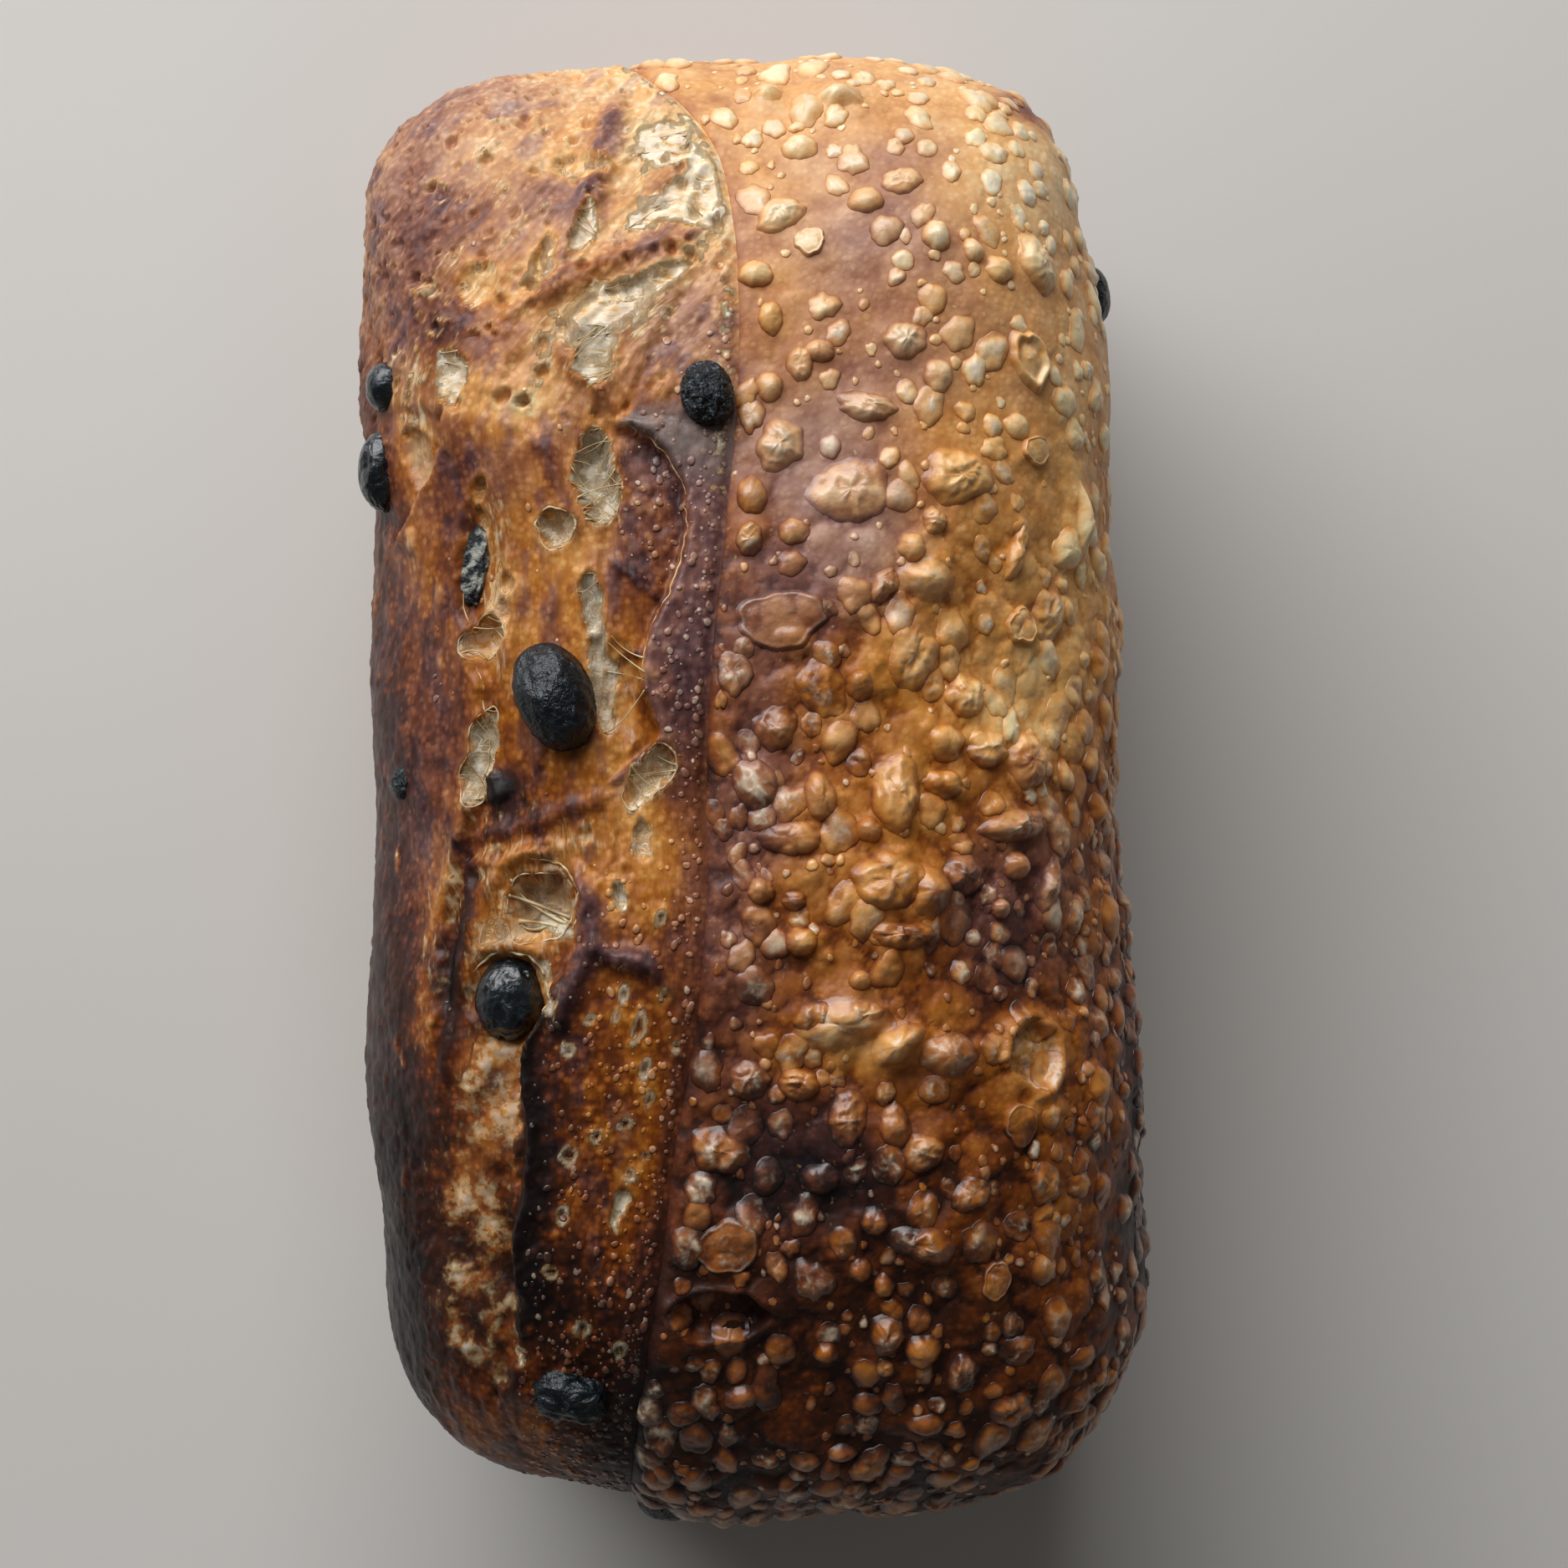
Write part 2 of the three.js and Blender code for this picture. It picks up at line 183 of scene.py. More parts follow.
def pores(points, size, seed=0):
    # cellular noise: distance to the nearest scattered centre in cell sizes, and its random number
    place = points / size
    cell = np.floor(place).astype(np.int64)
    nearest = np.full(points.shape[:-1], 9.0)
    number = np.zeros(points.shape[:-1])
    for offset in np.ndindex(3, 3, 3):
        neighbour = cell + np.array(offset) - 1
        mixed = cornerHash(neighbour, seed)
        centre = np.stack([mixed & 1023, (mixed >> 10) & 1023, (mixed >> 20) & 1023], -1) / 1023
        away = np.linalg.norm(neighbour + centre - place, axis=-1)
        closer = away < nearest
        nearest = np.where(closer, away, nearest)
        number = np.where(closer, (cornerHash(neighbour, seed + 77) & 4095) / 4095, number)
    return nearest, number


def curveThrough(knots, steps=14):
    # Catmull-Rom curve: each stretch bends as its neighbours' knots say
    knots = np.array(knots, float)
    ends = np.vstack([2 * knots[0] - knots[1], knots, 2 * knots[-1] - knots[-2]])
    share = np.linspace(0, 1, steps, endpoint=False)[:, None, None]
    p0, p1, p2, p3 = ends[:-3], ends[1:-2], ends[2:-1], ends[3:]
    stretch = 0.5 * (
        2 * p1
        + (p2 - p0) * share
        + (2 * p0 - 5 * p1 + 4 * p2 - p3) * share**2
        + (3 * p1 - p0 - 3 * p2 + p3) * share**3
    )
    return np.vstack([stretch.transpose(1, 0, 2).reshape(-1, knots.shape[1]), knots[-1:]])


def besideCurve(x, y, curve):
    # distance to the nearest stretch of a curve, its side (1 right, -1 left), and the share run
    away, side, share = np.full(x.shape, 1e3), np.zeros(x.shape), np.zeros(x.shape)
    low, high = curve.min(0) - 16, curve.max(0) + 16
    close = (x > low[0]) & (x < high[0]) & (y > low[1]) & (y < high[1])
    px, py = x[close], y[close]
    best = np.full(px.shape, 1e3)
    bestSide, bestShare = np.zeros(px.shape), np.zeros(px.shape)
    for i in range(len(curve) - 1):
        (ax, ay), (dx, dy) = curve[i], curve[i + 1] - curve[i]
        along = np.clip(((px - ax) * dx + (py - ay) * dy) / (dx * dx + dy * dy), 0, 1)
        ox, oy = px - ax - along * dx, py - ay - along * dy
        distance = np.hypot(ox, oy)
        nearer = distance < best
        best = np.where(nearer, distance, best)
        bestSide = np.where(nearer, np.sign(dx * oy - dy * ox), bestSide)
        bestShare = np.where(nearer, (i + along) / (len(curve) - 1), bestShare)
    away[close], side[close], share[close] = best, bestSide, bestShare
    return away, side, share


def insideOval(x, y, at, size, turn):
    # share of the way out to an oval's edge: places turned back and divided by its half sizes
    angle = np.radians(turn)
    dx, dy = x - at[0], y - at[1]
    u = (dx * np.cos(angle) + dy * np.sin(angle)) / size[0]
    v = (dy * np.cos(angle) - dx * np.sin(angle)) / size[1]
    return np.hypot(u, v)


scoreKnots = [
    (-26, 120), (-17, 110), (-11, 104), (-6, 96), (-3.5, 84), (-2.5, 72), (-2.6, 56), (-4.2, 36),
    (-6.2, 16), (-7.1, -4), (-7, -20), (-8.6, -40), (-11.8, -58), (-14, -76), (-17, -94),
    (-19, -108), (-20, -120),
]
scoreLine = curveThrough(scoreKnots)


def uneven(points):
    # gentle unevenness of the whole crust as three slanting sine waves, the same as in the solid
    x, y, z = points[..., 0], points[..., 1], points[..., 2]
    return (
        0.7 * np.sin(0.071 * x + 0.043 * y + 1.3)
        + 0.5 * np.sin(0.128 * y - 0.06 * x + 0.05 * z)
        + 0.35 * np.sin(0.21 * x + 0.17 * y + 0.12 * z + 2.1)
    ) * smoothStep(z, 0, 25)


roast = {
    "middle": 0.53,  # 0 is raw crumb, 1 is charcoal
    "nearEnd": 0.27,  # added towards the near end
    # paler towards the far end: partly lighter baking and flour, partly painted sheen where the key
    # light grazes the far slopes
    "farEnd": -0.27,
    "edge": 0.22,  # added at the shoulders above the tin
    "golden": 0.55,
    # place on the plan, reach across and along, browner by, purple by
    "zones": [
        (17, 80, 13, 9, 0.08, 0.60), (24, 93, 14, 5, 0.06, 0.25), (8, 46, 12, 12, -0.05, 0.75),
        (22, 60, 12, 8, 0.02, 0.35), (36, 66, 10, 12, -0.03, 0.10), (9, 25, 9, 8, 0.06, 0.55),
        (19, 34, 11, 10, -0.12, 0.6), (0, 12, 5, 16, 0.06, 0.50), (2, -6, 6, 8, 0.06, 0.40),
        (30, 14, 14, 22, -0.10, -0.4), (50, 27, 8, 20, -0.20, -0.4), (38, 34, 9, 14, -0.06, -0.2),
        (41, 9, 8, 9, -0.28, -0.3), (50, 60, 8, 30, -0.14, -0.1), (40, 92, 11, 10, -0.14, -0.2),
        (22, -14, 12, 14, 0.01, -0.5), (38, -19, 10, 11, 0.16, 0.80), (38, -31, 6, 5, 0.24, 0.3),
        (-2, -30, 5, 26, 0.05, 0.40), (6, -58, 10, 7, 0.16, 0.60), (18, -46, 9, 4, 0.06, 0.35),
        (2, -72, 14, 10, 0.05, 0.15), (14, -63, 9, 6, 0.12, 0.2), (14, -43, 9, 5, -0.28, -0.6),
        (12, -37, 7, 2.5, 0.10, 0.2), (32, -58, 12, 8, 0.0, -0.2), (42, -46, 9, 9, -0.03, -0.4),
        (33, 52, 9, 10, -0.08, -0.1), (39, 60, 7, 12, -0.06, 0.0), (46, -80, 9, 22, -0.10, -0.1),
        (20, -66, 16, 8, 0.04, 0.0), (-52, 86, 9, 18, 0.29, 0.65), (-31, 87, 8, 7, 0.22, 0.55),
        (-45, 66, 6, 7, 0.32, 0.3), (-54, 64, 4, 10, -0.06, 0.3), (-42, 80, 6, 8, 0.14, 0.15),
        (-54, 27, 3.5, 8, -0.08, 0.0), (-46, 43, 5, 10, 0.16, 0.3), (-47, 22, 5, 8, 0.10, 0.2),
        (-10, 6, 4, 14, 0.14, 0.1), (-36, 55, 7, 6, -0.28, -0.2), (-44, 106, 16, 8, 0.18, 0.5),
        (43, 106, 5, 3.5, 0.40, 0.7), (-13, 66, 8, 14, 0.08, 0.45), (-14, 43, 6, 9, 0.06, 0.35),
        (-40, 8, 6, 6, 0.10, 0.1), (-50, -12, 4, 6, -0.14, 0.1), (-51, -30, 5, 7, 0.12, 0.1),
        (-50, -2, 6, 18, 0.18, 0.5), (-48, -60, 5, 22, 0.10, 0.1), (-38, 44, 7, 8, 0.0, 0.4),
        (-22, 28, 4, 8, 0.04, 0.4), (-27, 50, 4, 9, 0.02, 0.4), (-46, -28, 4, 12, 0.10, 0.20),
        (-38, -4, 3.5, 4, 0.26, 0.7), (-33, 28, 9, 14, -0.15, -0.3), (-30, 12, 12, 14, -0.06, -0.3),
        (-18, -10, 9, 10, -0.14, -0.3), (-32, -7, 9, 4, 0.16, -0.1), (-22, -36, 6, 14, 0.04, -0.3),
        (-19, -37, 6, 6, 0.08, -0.1), (-21, -60, 9, 16, -0.10, -0.6),
        (-13, -54, 4, 16, -0.04, -0.1), (-40, -101, 13, 9, -0.34, -0.9),
        (-18, -100, 10, 9, 0.12, -0.2), (-18, 9, 5, 4, 0.12, 0.0), (-32, -21, 5, 5, 0.12, 0.0),
    ],
}


def roastAt(points):
    # browning grows towards the near end and the shoulders, with patches and unevenness over it
    x, y = points[..., 0], points[..., 1]
    brown = roast["middle"] + roast["nearEnd"] * smoothStep(-y, 8, 100)
    # the paler far end is partly painted sheen
    brown = brown + roast["farEnd"] * smoothStep(y, 20, 112)
    out = x - leanAt(y)
    shoulder = smoothStep(-out, 47, 57) + smoothStep(out, 53, 60) * smoothStep(y, 10, -45)
    brown = brown + roast["edge"] * shoulder * smoothStep(-y, -95, -60)
    purple = mix(0.25, 0.6, smoothStep(out, -20, 20)) * shoulder
    for zoneX, zoneY, across, along, browner, purpler in roast["zones"]:
        share = np.exp(-(((x - zoneX) / across) ** 2) - ((y - zoneY) / along) ** 2)
        brown = brown + browner * share
        purple = purple + purpler * share
    brown = brown + 0.11 * layeredWaves(points, 15, 3, 11) + 0.06 * layeredWaves(points, 4, 2, 15)
    purple = purple + 0.30 * layeredWaves(points, 9, 3, 21)
    golden = roast["golden"] - 0.8 * purple + 0.7 * layeredWaves(points, 8, 3, 25)
    golden = golden - 0.55 * smoothStep(y, 45, 85)
    return [np.clip(tone, 0, 1) for tone in (brown, purple, golden)]


def writeMesh(name, points, faces, channels, material, replaced, slot="crust"):
    # points in millimetres; faces is a list of whole-number arrays, one row of corners per face;
    # channels are tones for the material, one number per point
    mesh = bpy.data.meshes.new(name)
    metres = (points.reshape(-1, 3) + loafForm["originShift"]) / 1000
    mesh.vertices.add(len(metres))
    mesh.vertices.foreach_set("co", metres.astype(np.float32).ravel())
    corners = np.concatenate([part.ravel() for part in faces]).astype(np.int32)
    sizes = np.concatenate([np.full(len(part), part.shape[1]) for part in faces])
    starts = np.concatenate([[0], np.cumsum(sizes)[:-1]]).astype(np.int32)
    mesh.loops.add(len(corners))
    mesh.loops.foreach_set("vertex_index", corners)
    mesh.polygons.add(len(sizes))
    mesh.polygons.foreach_set("loop_start", starts)
    for channel, values in channels.items():
        layer = mesh.attributes.new(channel, "FLOAT", "POINT")
        layer.data.foreach_set("value", values.astype(np.float32).ravel())
    mesh.update(calc_edges=True)
    mesh.validate()
    mesh.shade_smooth()
    mesh.materials.append(material)
    piece = bpy.data.objects.new(name, mesh)
    bpy.context.scene.collection.objects.link(piece)
    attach(piece, "root")
    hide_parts(*replaced)
    print(name, "has", int((sizes - 2).sum()), "triangles")


def gridFaces(rows, columns, wrap=False):
    # quads between neighbouring rows and columns; wrap joins the last column to the first
    index = np.arange(rows * columns).reshape(rows, columns)
    right = np.roll(index, -1, axis=1) if wrap else index[:, 1:]
    left = index if wrap else index[:, :-1]
    return np.stack([left[:-1], right[:-1], right[1:], left[1:]], -1).reshape(-1, 4)


def closedUnder(s, t, points, heart):
    # rings round the grid's border roll in and under along a quarter circle, then meet deep inside
    rows, columns = s.shape
    index = np.arange(rows * columns).reshape(rows, columns)
    loop = np.concatenate([index[0, :-1], index[:-1, -1], index[-1, :0:-1], index[:0:-1, 0]])
    edgeS, edgeT, edge = s.ravel()[loop], t.ravel()[loop], points.reshape(-1, 3)[loop]
    atRim = np.maximum(np.abs(edgeS), np.abs(edgeT)) > 0.9999
    roll, rings = loafForm["rimRoll"], crustGrid["rollRings"]
    shell, faces = [points.reshape(-1, 3)], [gridFaces(rows, columns)]
    outer = loop
    for k in range(1, rings + 1):
        angle = np.pi / 2 * k / rings
        moved = topPoint(edgeS, edgeT, roll * (1 - np.cos(angle))) - topPoint(edgeS, edgeT)
        moved = np.where(atRim[:, None], moved, 0)
        moved[:, 2] -= roll * np.sin(angle)
        inner = rows * columns + (k - 1) * len(loop) + np.arange(len(loop))
        shell.append(edge + moved)
        faces.append(np.stack([np.roll(outer, -1), outer, inner, np.roll(inner, -1)], -1))
        outer = inner
    shell.append(np.array([heart], float))
    last = np.full(len(loop), len(np.vstack(shell)) - 1)
    faces.append(np.stack([np.roll(outer, -1), outer, last], -1))
    source = np.concatenate([np.arange(rows * columns), np.tile(loop, rings), [0]])
    return np.vstack(shell), faces, source


def spacedShares(count, coarseFrom, both=False):
    # count steps from 0 to 1, wider past a place, or past it both ways from the middle
    share = np.linspace(0, 1, 4001)
    out = np.abs(share - 0.5) * 2 if both else share
    density = np.where(out > coarseFrom, 1 / crustGrid["coarser"], 1.0)
    run = np.concatenate([[0], np.cumsum((density[1:] + density[:-1]) / 2)])
    return np.interp(np.linspace(0, run[-1], count), run, share)


crustGrid = {
    "rows": 516,
    "rightColumns": 176,
    "leftColumns": 178,
    "tuck": 2.4 / 66,  # how many steps the left crust runs on under the right one: 2.4 mm
    "stepLength": 75,  # about how many millimetres one step across is
    "coarser": 1.9,  # how much wider the grid's steps are low on the shoulders
    "rollRings": 5,  # rings of the rolled edge
    "rightHeart": (12, 0, 50),  # the points deep inside where the shells close
    "leftHeart": (-30, 0, 50),
}


def onShell(channels, source):
    # tones kept from 0 to 1 and read out for every point of a closed shell
    return {key: np.clip(values, 0, 1).ravel()[source] for key, values in channels.items()}


def scoreSteps(t):
    # the step s on each row t that lies over the score line
    s = np.linspace(-0.6, 0.4, 801)
    points = topPoint(s[None, :], t[:, None])
    scoreX = np.interp(points[..., 1], scoreLine[::-1, 1], scoreLine[::-1, 0])
    crossing = np.argmax(points[..., 0] - scoreX > 0, axis=1)
    return s[crossing]


crustRows = mix(-1, 1, spacedShares(crustGrid["rows"], 0.80, both=True))
scoreAt = scoreSteps(crustRows)
scoreAt = np.convolve(np.pad(scoreAt, 4, mode="edge"), np.ones(9) / 9, mode="valid")


def crustGridSteps(side):
    # steps s and t of every grid point of the crust right (1) or left (-1) of the score line
    count = crustGrid["rightColumns"] if side > 0 else crustGrid["leftColumns"]
    shares = spacedShares(count, 0.74)
    start = scoreAt if side > 0 else scoreAt + crustGrid["tuck"]
    s = start[:, None] + (side - start[:, None]) * shares[None, :]
    t = np.broadcast_to(crustRows[:, None], s.shape)
    return (s, t) if side > 0 else (s[:, ::-1], t[:, ::-1])


class CrustSurface:
    # finished points, normals and tones of one crust, which can be read between grid points
    def __init__(self, s, t, points, tones):
        self.s, self.t, self.points, self.tones = s, t, points, tones
        self.normals = gridNormals(points)

    def at(self, s, t):
        # blends the four grid points round each place
        row = np.clip(np.interp(t, self.t[:, 0], np.arange(len(self.t))), 0, len(self.t) - 1.001)
        low = row.astype(int)
        share = row - low
        rowSteps = mix(self.s[low], self.s[low + 1], share[..., None])
        column = np.clip((rowSteps < s[..., None]).sum(-1) - 1, 0, self.s.shape[1] - 2)
        left = np.take_along_axis(rowSteps, column[..., None], -1)[..., 0]
        right = np.take_along_axis(rowSteps, column[..., None] + 1, -1)[..., 0]
        over = np.clip((s - left) / (right - left), 0, 1)[..., None]
        up = share[..., None]
        blended = []
        for values in (self.points, self.normals, self.tones):
            near = mix(values[low, column], values[low, column + 1], over)
            far = mix(values[low + 1, column], values[low + 1, column + 1], over)
            blended.append(mix(near, far, up))
        return blended[0], unit(blended[1]), blended[2]


def linear(code):
    # sRGB hex code to linear RGBA
    channels = np.array([int(code[i : i + 2], 16) for i in (1, 3, 5)]) / 255
    low, high = channels / 12.92, ((channels + 0.055) / 1.055) ** 2.4
    return (*np.where(channels < 0.04045, low, high), 1)


def addNode(tree, kind, inputs=(), out=0, stops=(), **settings):
    # adds a node, sets its properties, fills or links its inputs and returns one of its outputs
    node = tree.nodes.new("ShaderNode" + kind)
    for name, value in settings.items():
        setattr(node, name, value)
    for i, (place, code) in enumerate(stops):
        stop = node.color_ramp.elements[i] if i < 2 else node.color_ramp.elements.new(place)
        stop.position = place
        stop.color = linear(code)
    for key, value in dict(inputs).items():
        if isinstance(value, bpy.types.NodeSocket):
            tree.links.new(value, node.inputs[key])
        else:
            node.inputs[key].default_value = value
    return node.outputs[out] if node.outputs else node


def newMaterial(name):
    # an empty material, and addNode with its tree filled in
    material = bpy.data.materials.new(name)
    material.use_nodes = True
    material.node_tree.nodes.clear()
    return material, partial(addNode, material.node_tree)


crustColours = {
    # Maillard browning, from raw flour to char
    "browning": [
        (0.00, "#F4EAD2"),
        (0.14, "#EEC994"),
        (0.28, "#DDA56B"),
        (0.42, "#BB7D4C"),
        (0.56, "#90522C"),
        (0.68, "#653118"),
        (0.80, "#3E1C10"),
        (1.00, "#150B08"),
    ],
    # where sugars caramelised under a clear film: yellower
    "caramel": [
        (0.05, "#F4DCA4"),
        (0.25, "#EDB268"),
        (0.42, "#C98438"),
        (0.56, "#A45D14"),
        (0.68, "#7A3A08"),
        (0.80, "#441F08"),
        (1.00, "#1A0C06"),
    ],
    # where the skin dried before it browned: greyer and redder
    "purpling": [
        (0.10, "#CDB3A6"),
        (0.35, "#A58277"),
        (0.55, "#785350"),
        (0.75, "#482D2E"),
        (1.00, "#1A1012"),
    ],
    # webs of gluten, from their shaded cells to their dry threads
    "crumb": [(0.24, "#8A5420"), (0.40, "#CE9A5C"), (0.54, "#EBD09E"), (0.74, "#FBF1DC")],
    "ash": "#8B8B80",
    # cream for the highlights painted on blister folds, rims and tops; also the tint of the film's
    # sheen
    "film": "#DDCBB0",
}
# what the crusts share unless a piece says otherwise; sizes and heights in millimetres
crustLook = {
    "grit": 0.03,  # height of the finest grain
    "speckle": 0.12,  # how much it varies the browning
    "fibreHigh": 0,  # fibres only show where the dough tore
    "fibrePaler": 0,
    "shine": 0.32,
    "gloss": 0.46,  # roughness: lower is glossier
}


def crustTone(add, brown, purple, golden):
    # three browning ramps, mixed by how golden and how purple the crust is
    browned = add("ValToRGB", {"Fac": brown}, stops=crustColours["browning"])
    caramel = add("ValToRGB", {"Fac": brown}, stops=crustColours["caramel"])
    purpled = add("ValToRGB", {"Fac": brown}, stops=crustColours["purpling"])
    warm = add("Mix", {0: golden, 6: browned, 7: caramel}, 2, data_type="RGBA")
    return add("Mix", {0: purple, 6: warm, 7: purpled}, 2, data_type="RGBA")


def bakedCrust(name, look):
    # Baked wheat crust, dried and browned: half glossy, uneven brown under tiny blisters.
    # Where it tore, the crumb shows as stretched webs of gluten, paler and silkier.
    material, add = newMaterial(name)
    place = add("TexCoord", out="Object")
    brown, purple, golden, crumb, ash = (
        add("Attribute", out="Fac", attribute_name=key)
        for key in ("brown", "purple", "golden", "crumb", "ash")
    )
    # pebbles are blisters too small for the mesh; scales are 1000 over millimetres
    grain = add("TexNoise", {"Vector": place, "Scale": 1000 / 1.1, "Detail": 1.0})
    mottle = add("TexNoise", {"Vector": place, "Scale": 1000 / 4.5, "Detail": 2.0})
    cells = add("TexVoronoi", {"Vector": place, "Scale": 1000 / look["pebble"]})
    pebble = add("MapRange", {0: cells, 1: 0.66, 2: 0.16}, interpolation_type="SMOOTHSTEP")
    pebble = add("Math", {0: pebble, 1: cells.node.outputs["Color"]}, operation="MULTIPLY")
    tone = brown
    patterns = ((grain, look["speckle"]), (mottle, look["mottle"]), (pebble, -look["pebblePaler"]))
    for pattern, strength in patterns:
        tone = add("Math", {0: pattern, 1: strength, 2: tone}, operation="MULTIPLY_ADD")
    height = add("Math", {0: pebble, 1: look["pebbleHigh"]}, operation="MULTIPLY")
    height = add("Math", {0: grain, 1: look["grit"], 2: height}, operation="MULTIPLY_ADD")
    if look["fibreHigh"]:
        along = add("Attribute", out="Fac", attribute_name="along")
        across = add("Attribute", out="Fac", attribute_name="across")
        drawn = add("CombineXYZ", {0: along, 1: across})
        fibre = add("TexNoise", {"Vector": drawn, "Scale": 1.0, "Detail": 2.0, "Roughness": 0.6})
        tone = add("Math", {0: fibre, 1: look["fibrePaler"], 2: tone}, operation="MULTIPLY_ADD")
        height = add("Math", {0: fibre, 1: look["fibreHigh"], 2: height}, operation="MULTIPLY_ADD")
    else:
        fibre = grain
    # the patterns' middle value leaves the browning as it was
    middle = 0.5 * (look["speckle"] + look["mottle"] - look["pebblePaler"] + look["fibrePaler"])
    tone = add("Math", {0: tone, 1: middle}, operation="SUBTRACT")
    skin = crustTone(add, tone, purple, golden)

    # crumb: silky webs, drawn along the fibres, with grey or yellow places
    webs = -0.75
    for pattern, strength in ((fibre, 1.30), (mottle, 0.45), (crumb, 0.58)):
        webs = add("Math", {0: pattern, 1: strength, 2: webs}, operation="MULTIPLY_ADD")
    if look["fibreHigh"]:
        # strands drawn over the torn cells: thin pale lines where the noise passes its middle
        strand = add("Math", {0: fibre, 1: 0.5, 2: 0.022}, operation="COMPARE")
        strand = add("Math", {0: strand, 1: crumb}, operation="MULTIPLY")
        webs = add("Math", {0: strand, 1: 0.22, 2: webs}, operation="MULTIPLY_ADD")
        height = add("Math", {0: strand, 1: 0.10, 2: height}, operation="MULTIPLY_ADD")
    web = add("ValToRGB", {"Fac": webs}, stops=crustColours["crumb"])
    caramel = add("ValToRGB", {"Fac": tone}, stops=crustColours["caramel"])
    yolk = add("Math", {0: golden, 1: 0.7}, operation="MULTIPLY")
    yolked = add("Mix", {0: yolk, 6: web, 7: caramel}, 2, data_type="RGBA")
    frayed = add("Math", {0: fibre, 1: 0.8, 2: crumb}, operation="MULTIPLY_ADD")
    frayed = add("Math", {0: grain, 1: 0.4, 2: frayed}, operation="MULTIPLY_ADD")
    torn = add("MapRange", {0: frayed, 1: 0.78, 2: 1.24}, interpolation_type="SMOOTHSTEP")
    colour = add("Mix", {0: torn, 6: skin, 7: yolked}, 2, data_type="RGBA")
    colour = add("Mix", {0: ash, 6: colour, 7: linear(crustColours["ash"])}, 2, data_type="RGBA")
    relief = add("Bump", {"Height": height, "Distance": 0.001, "Strength": 1.0})
    low, high = look["gloss"] - 0.06, look["gloss"] + 0.10
    roughness = add("MapRange", {0: mottle, 1: 0.3, 2: 0.7, 3: low, 4: high})
    shader = add(
        "BsdfPrincipled",
        {
            "Base Color": colour,
            "Roughness": roughness,
            "IOR": 1.50,
            "Specular IOR Level": look["shine"],
            "Normal": relief,
        },
    )
    add("OutputMaterial", {"Surface": shader})
    return material


def blisterFilm(name):
    # Thin film of starch gel that puffed up and dried: amber and glossy, with cream painted on its
    # folds, rim and top as highlight and sheen.
    material, add = newMaterial(name)
    place = add("TexCoord", out="Object")
    brown, purple, golden, pale = (
        add("Attribute", out="Fac", attribute_name=key)
        for key in ("brown", "purple", "golden", "pale")
    )
    grain = add("TexNoise", {"Vector": place, "Scale": 1000 / 0.9, "Detail": 1.0})
    broad = add("TexNoise", {"Vector": place, "Scale": 1000 / 2.6, "Detail": 1.0})
    tone = brown
    for pattern, strength in ((grain, 0.14), (broad, 0.24)):
        tone = add("Math", {0: pattern, 1: strength, 2: tone}, operation="MULTIPLY_ADD")
    tone = add("Math", {0: tone, 1: 0.19}, operation="SUBTRACT")
    film = crustTone(add, tone, purple, golden)
    # the pale channel mixes in cream: painted highlight
    paintedHighlight = add("Math", {0: grain, 1: 0.5, 2: pale}, operation="MULTIPLY_ADD")
    paintedHighlight = add("MapRange", {0: paintedHighlight, 1: 0.28, 2: 1.1}, interpolation_type="SMOOTHSTEP")
    filmWithPaintedHighlight = add("Mix", {0: paintedHighlight, 6: film, 7: linear(crustColours["film"])}, 2, data_type="RGBA")
    relief = add("Bump", {"Height": grain, "Distance": 0.00007, "Strength": 1.0})
    shader = add(
        "BsdfPrincipled",
        {
            "Base Color": filmWithPaintedHighlight,
            "Roughness": 0.37,
            "IOR": 1.5,
            "Specular IOR Level": 0.6,
            "Coat Weight": 0.10,
            "Coat Roughness": 0.14,
            "Sheen Weight": 0.22,
            "Sheen Roughness": 0.35,
            "Sheen Tint": linear(crustColours["film"]),
            "Normal": relief,
        },
    )
    add("OutputMaterial", {"Surface": shader})
    return material


def oliveSkinMaterial(name, look):
    # Skin of a ripe black olive, cured and oven-dried: blue-black, oily where wet, else dusty.
    material, add = newMaterial(name)
    place = add("TexCoord", out="Object")
    skin = {"Vector": place, "Scale": 1000 / look["grain"], "Detail": 4.0, "Roughness": 0.6}
    wrinkle = add("TexNoise", skin)
    dust = add("TexNoise", {"Vector": place, "Scale": 1000 / look["patch"], "Detail": 4.0})
    blueBlack = [(0.30, "#04080A"), (0.52, "#0D1519"), (0.75, "#22303A")]
    tone = add("ValToRGB", {"Fac": wrinkle}, stops=blueBlack)
    spread = {0: dust, 1: look["dustFrom"], 2: look["dustFrom"] + 0.14, 4: look["dust"]}
    dusted = add("MapRange", spread, interpolation_type="SMOOTHSTEP")
    colour = add("Mix", {0: dusted, 6: tone, 7: linear(look["bloom"])}, 2, data_type="RGBA")
    relief = add("Bump", {"Height": wrinkle, "Distance": 0.001, "Strength": look["relief"]})
    shader = add(
        "BsdfPrincipled",
        {
            "Base Color": colour,
            "Roughness": look["roughness"],
            "IOR": 1.5,
            "Normal": relief,
            "Coat Weight": look["oil"],
            "Coat Roughness": 0.12,
        },
    )
    add("OutputMaterial", {"Surface": shader})
    return material


def glutenMaterial():
    # Dried gluten, stretched into threads as the crust tore: off-white and silky.
    material, add = newMaterial("dried gluten threads")
    place = add("TexCoord", out="Object")
    grain = add("TexNoise", {"Vector": place, "Scale": 1000 / 3})
    tone = add("ValToRGB", {"Fac": grain}, stops=[(0.35, "#A87C42"), (0.62, "#DCCBA2")])
    shader = add("BsdfPrincipled", {"Base Color": tone, "Roughness": 0.42, "IOR": 1.48})
    add("OutputMaterial", {"Surface": shader})
    return material


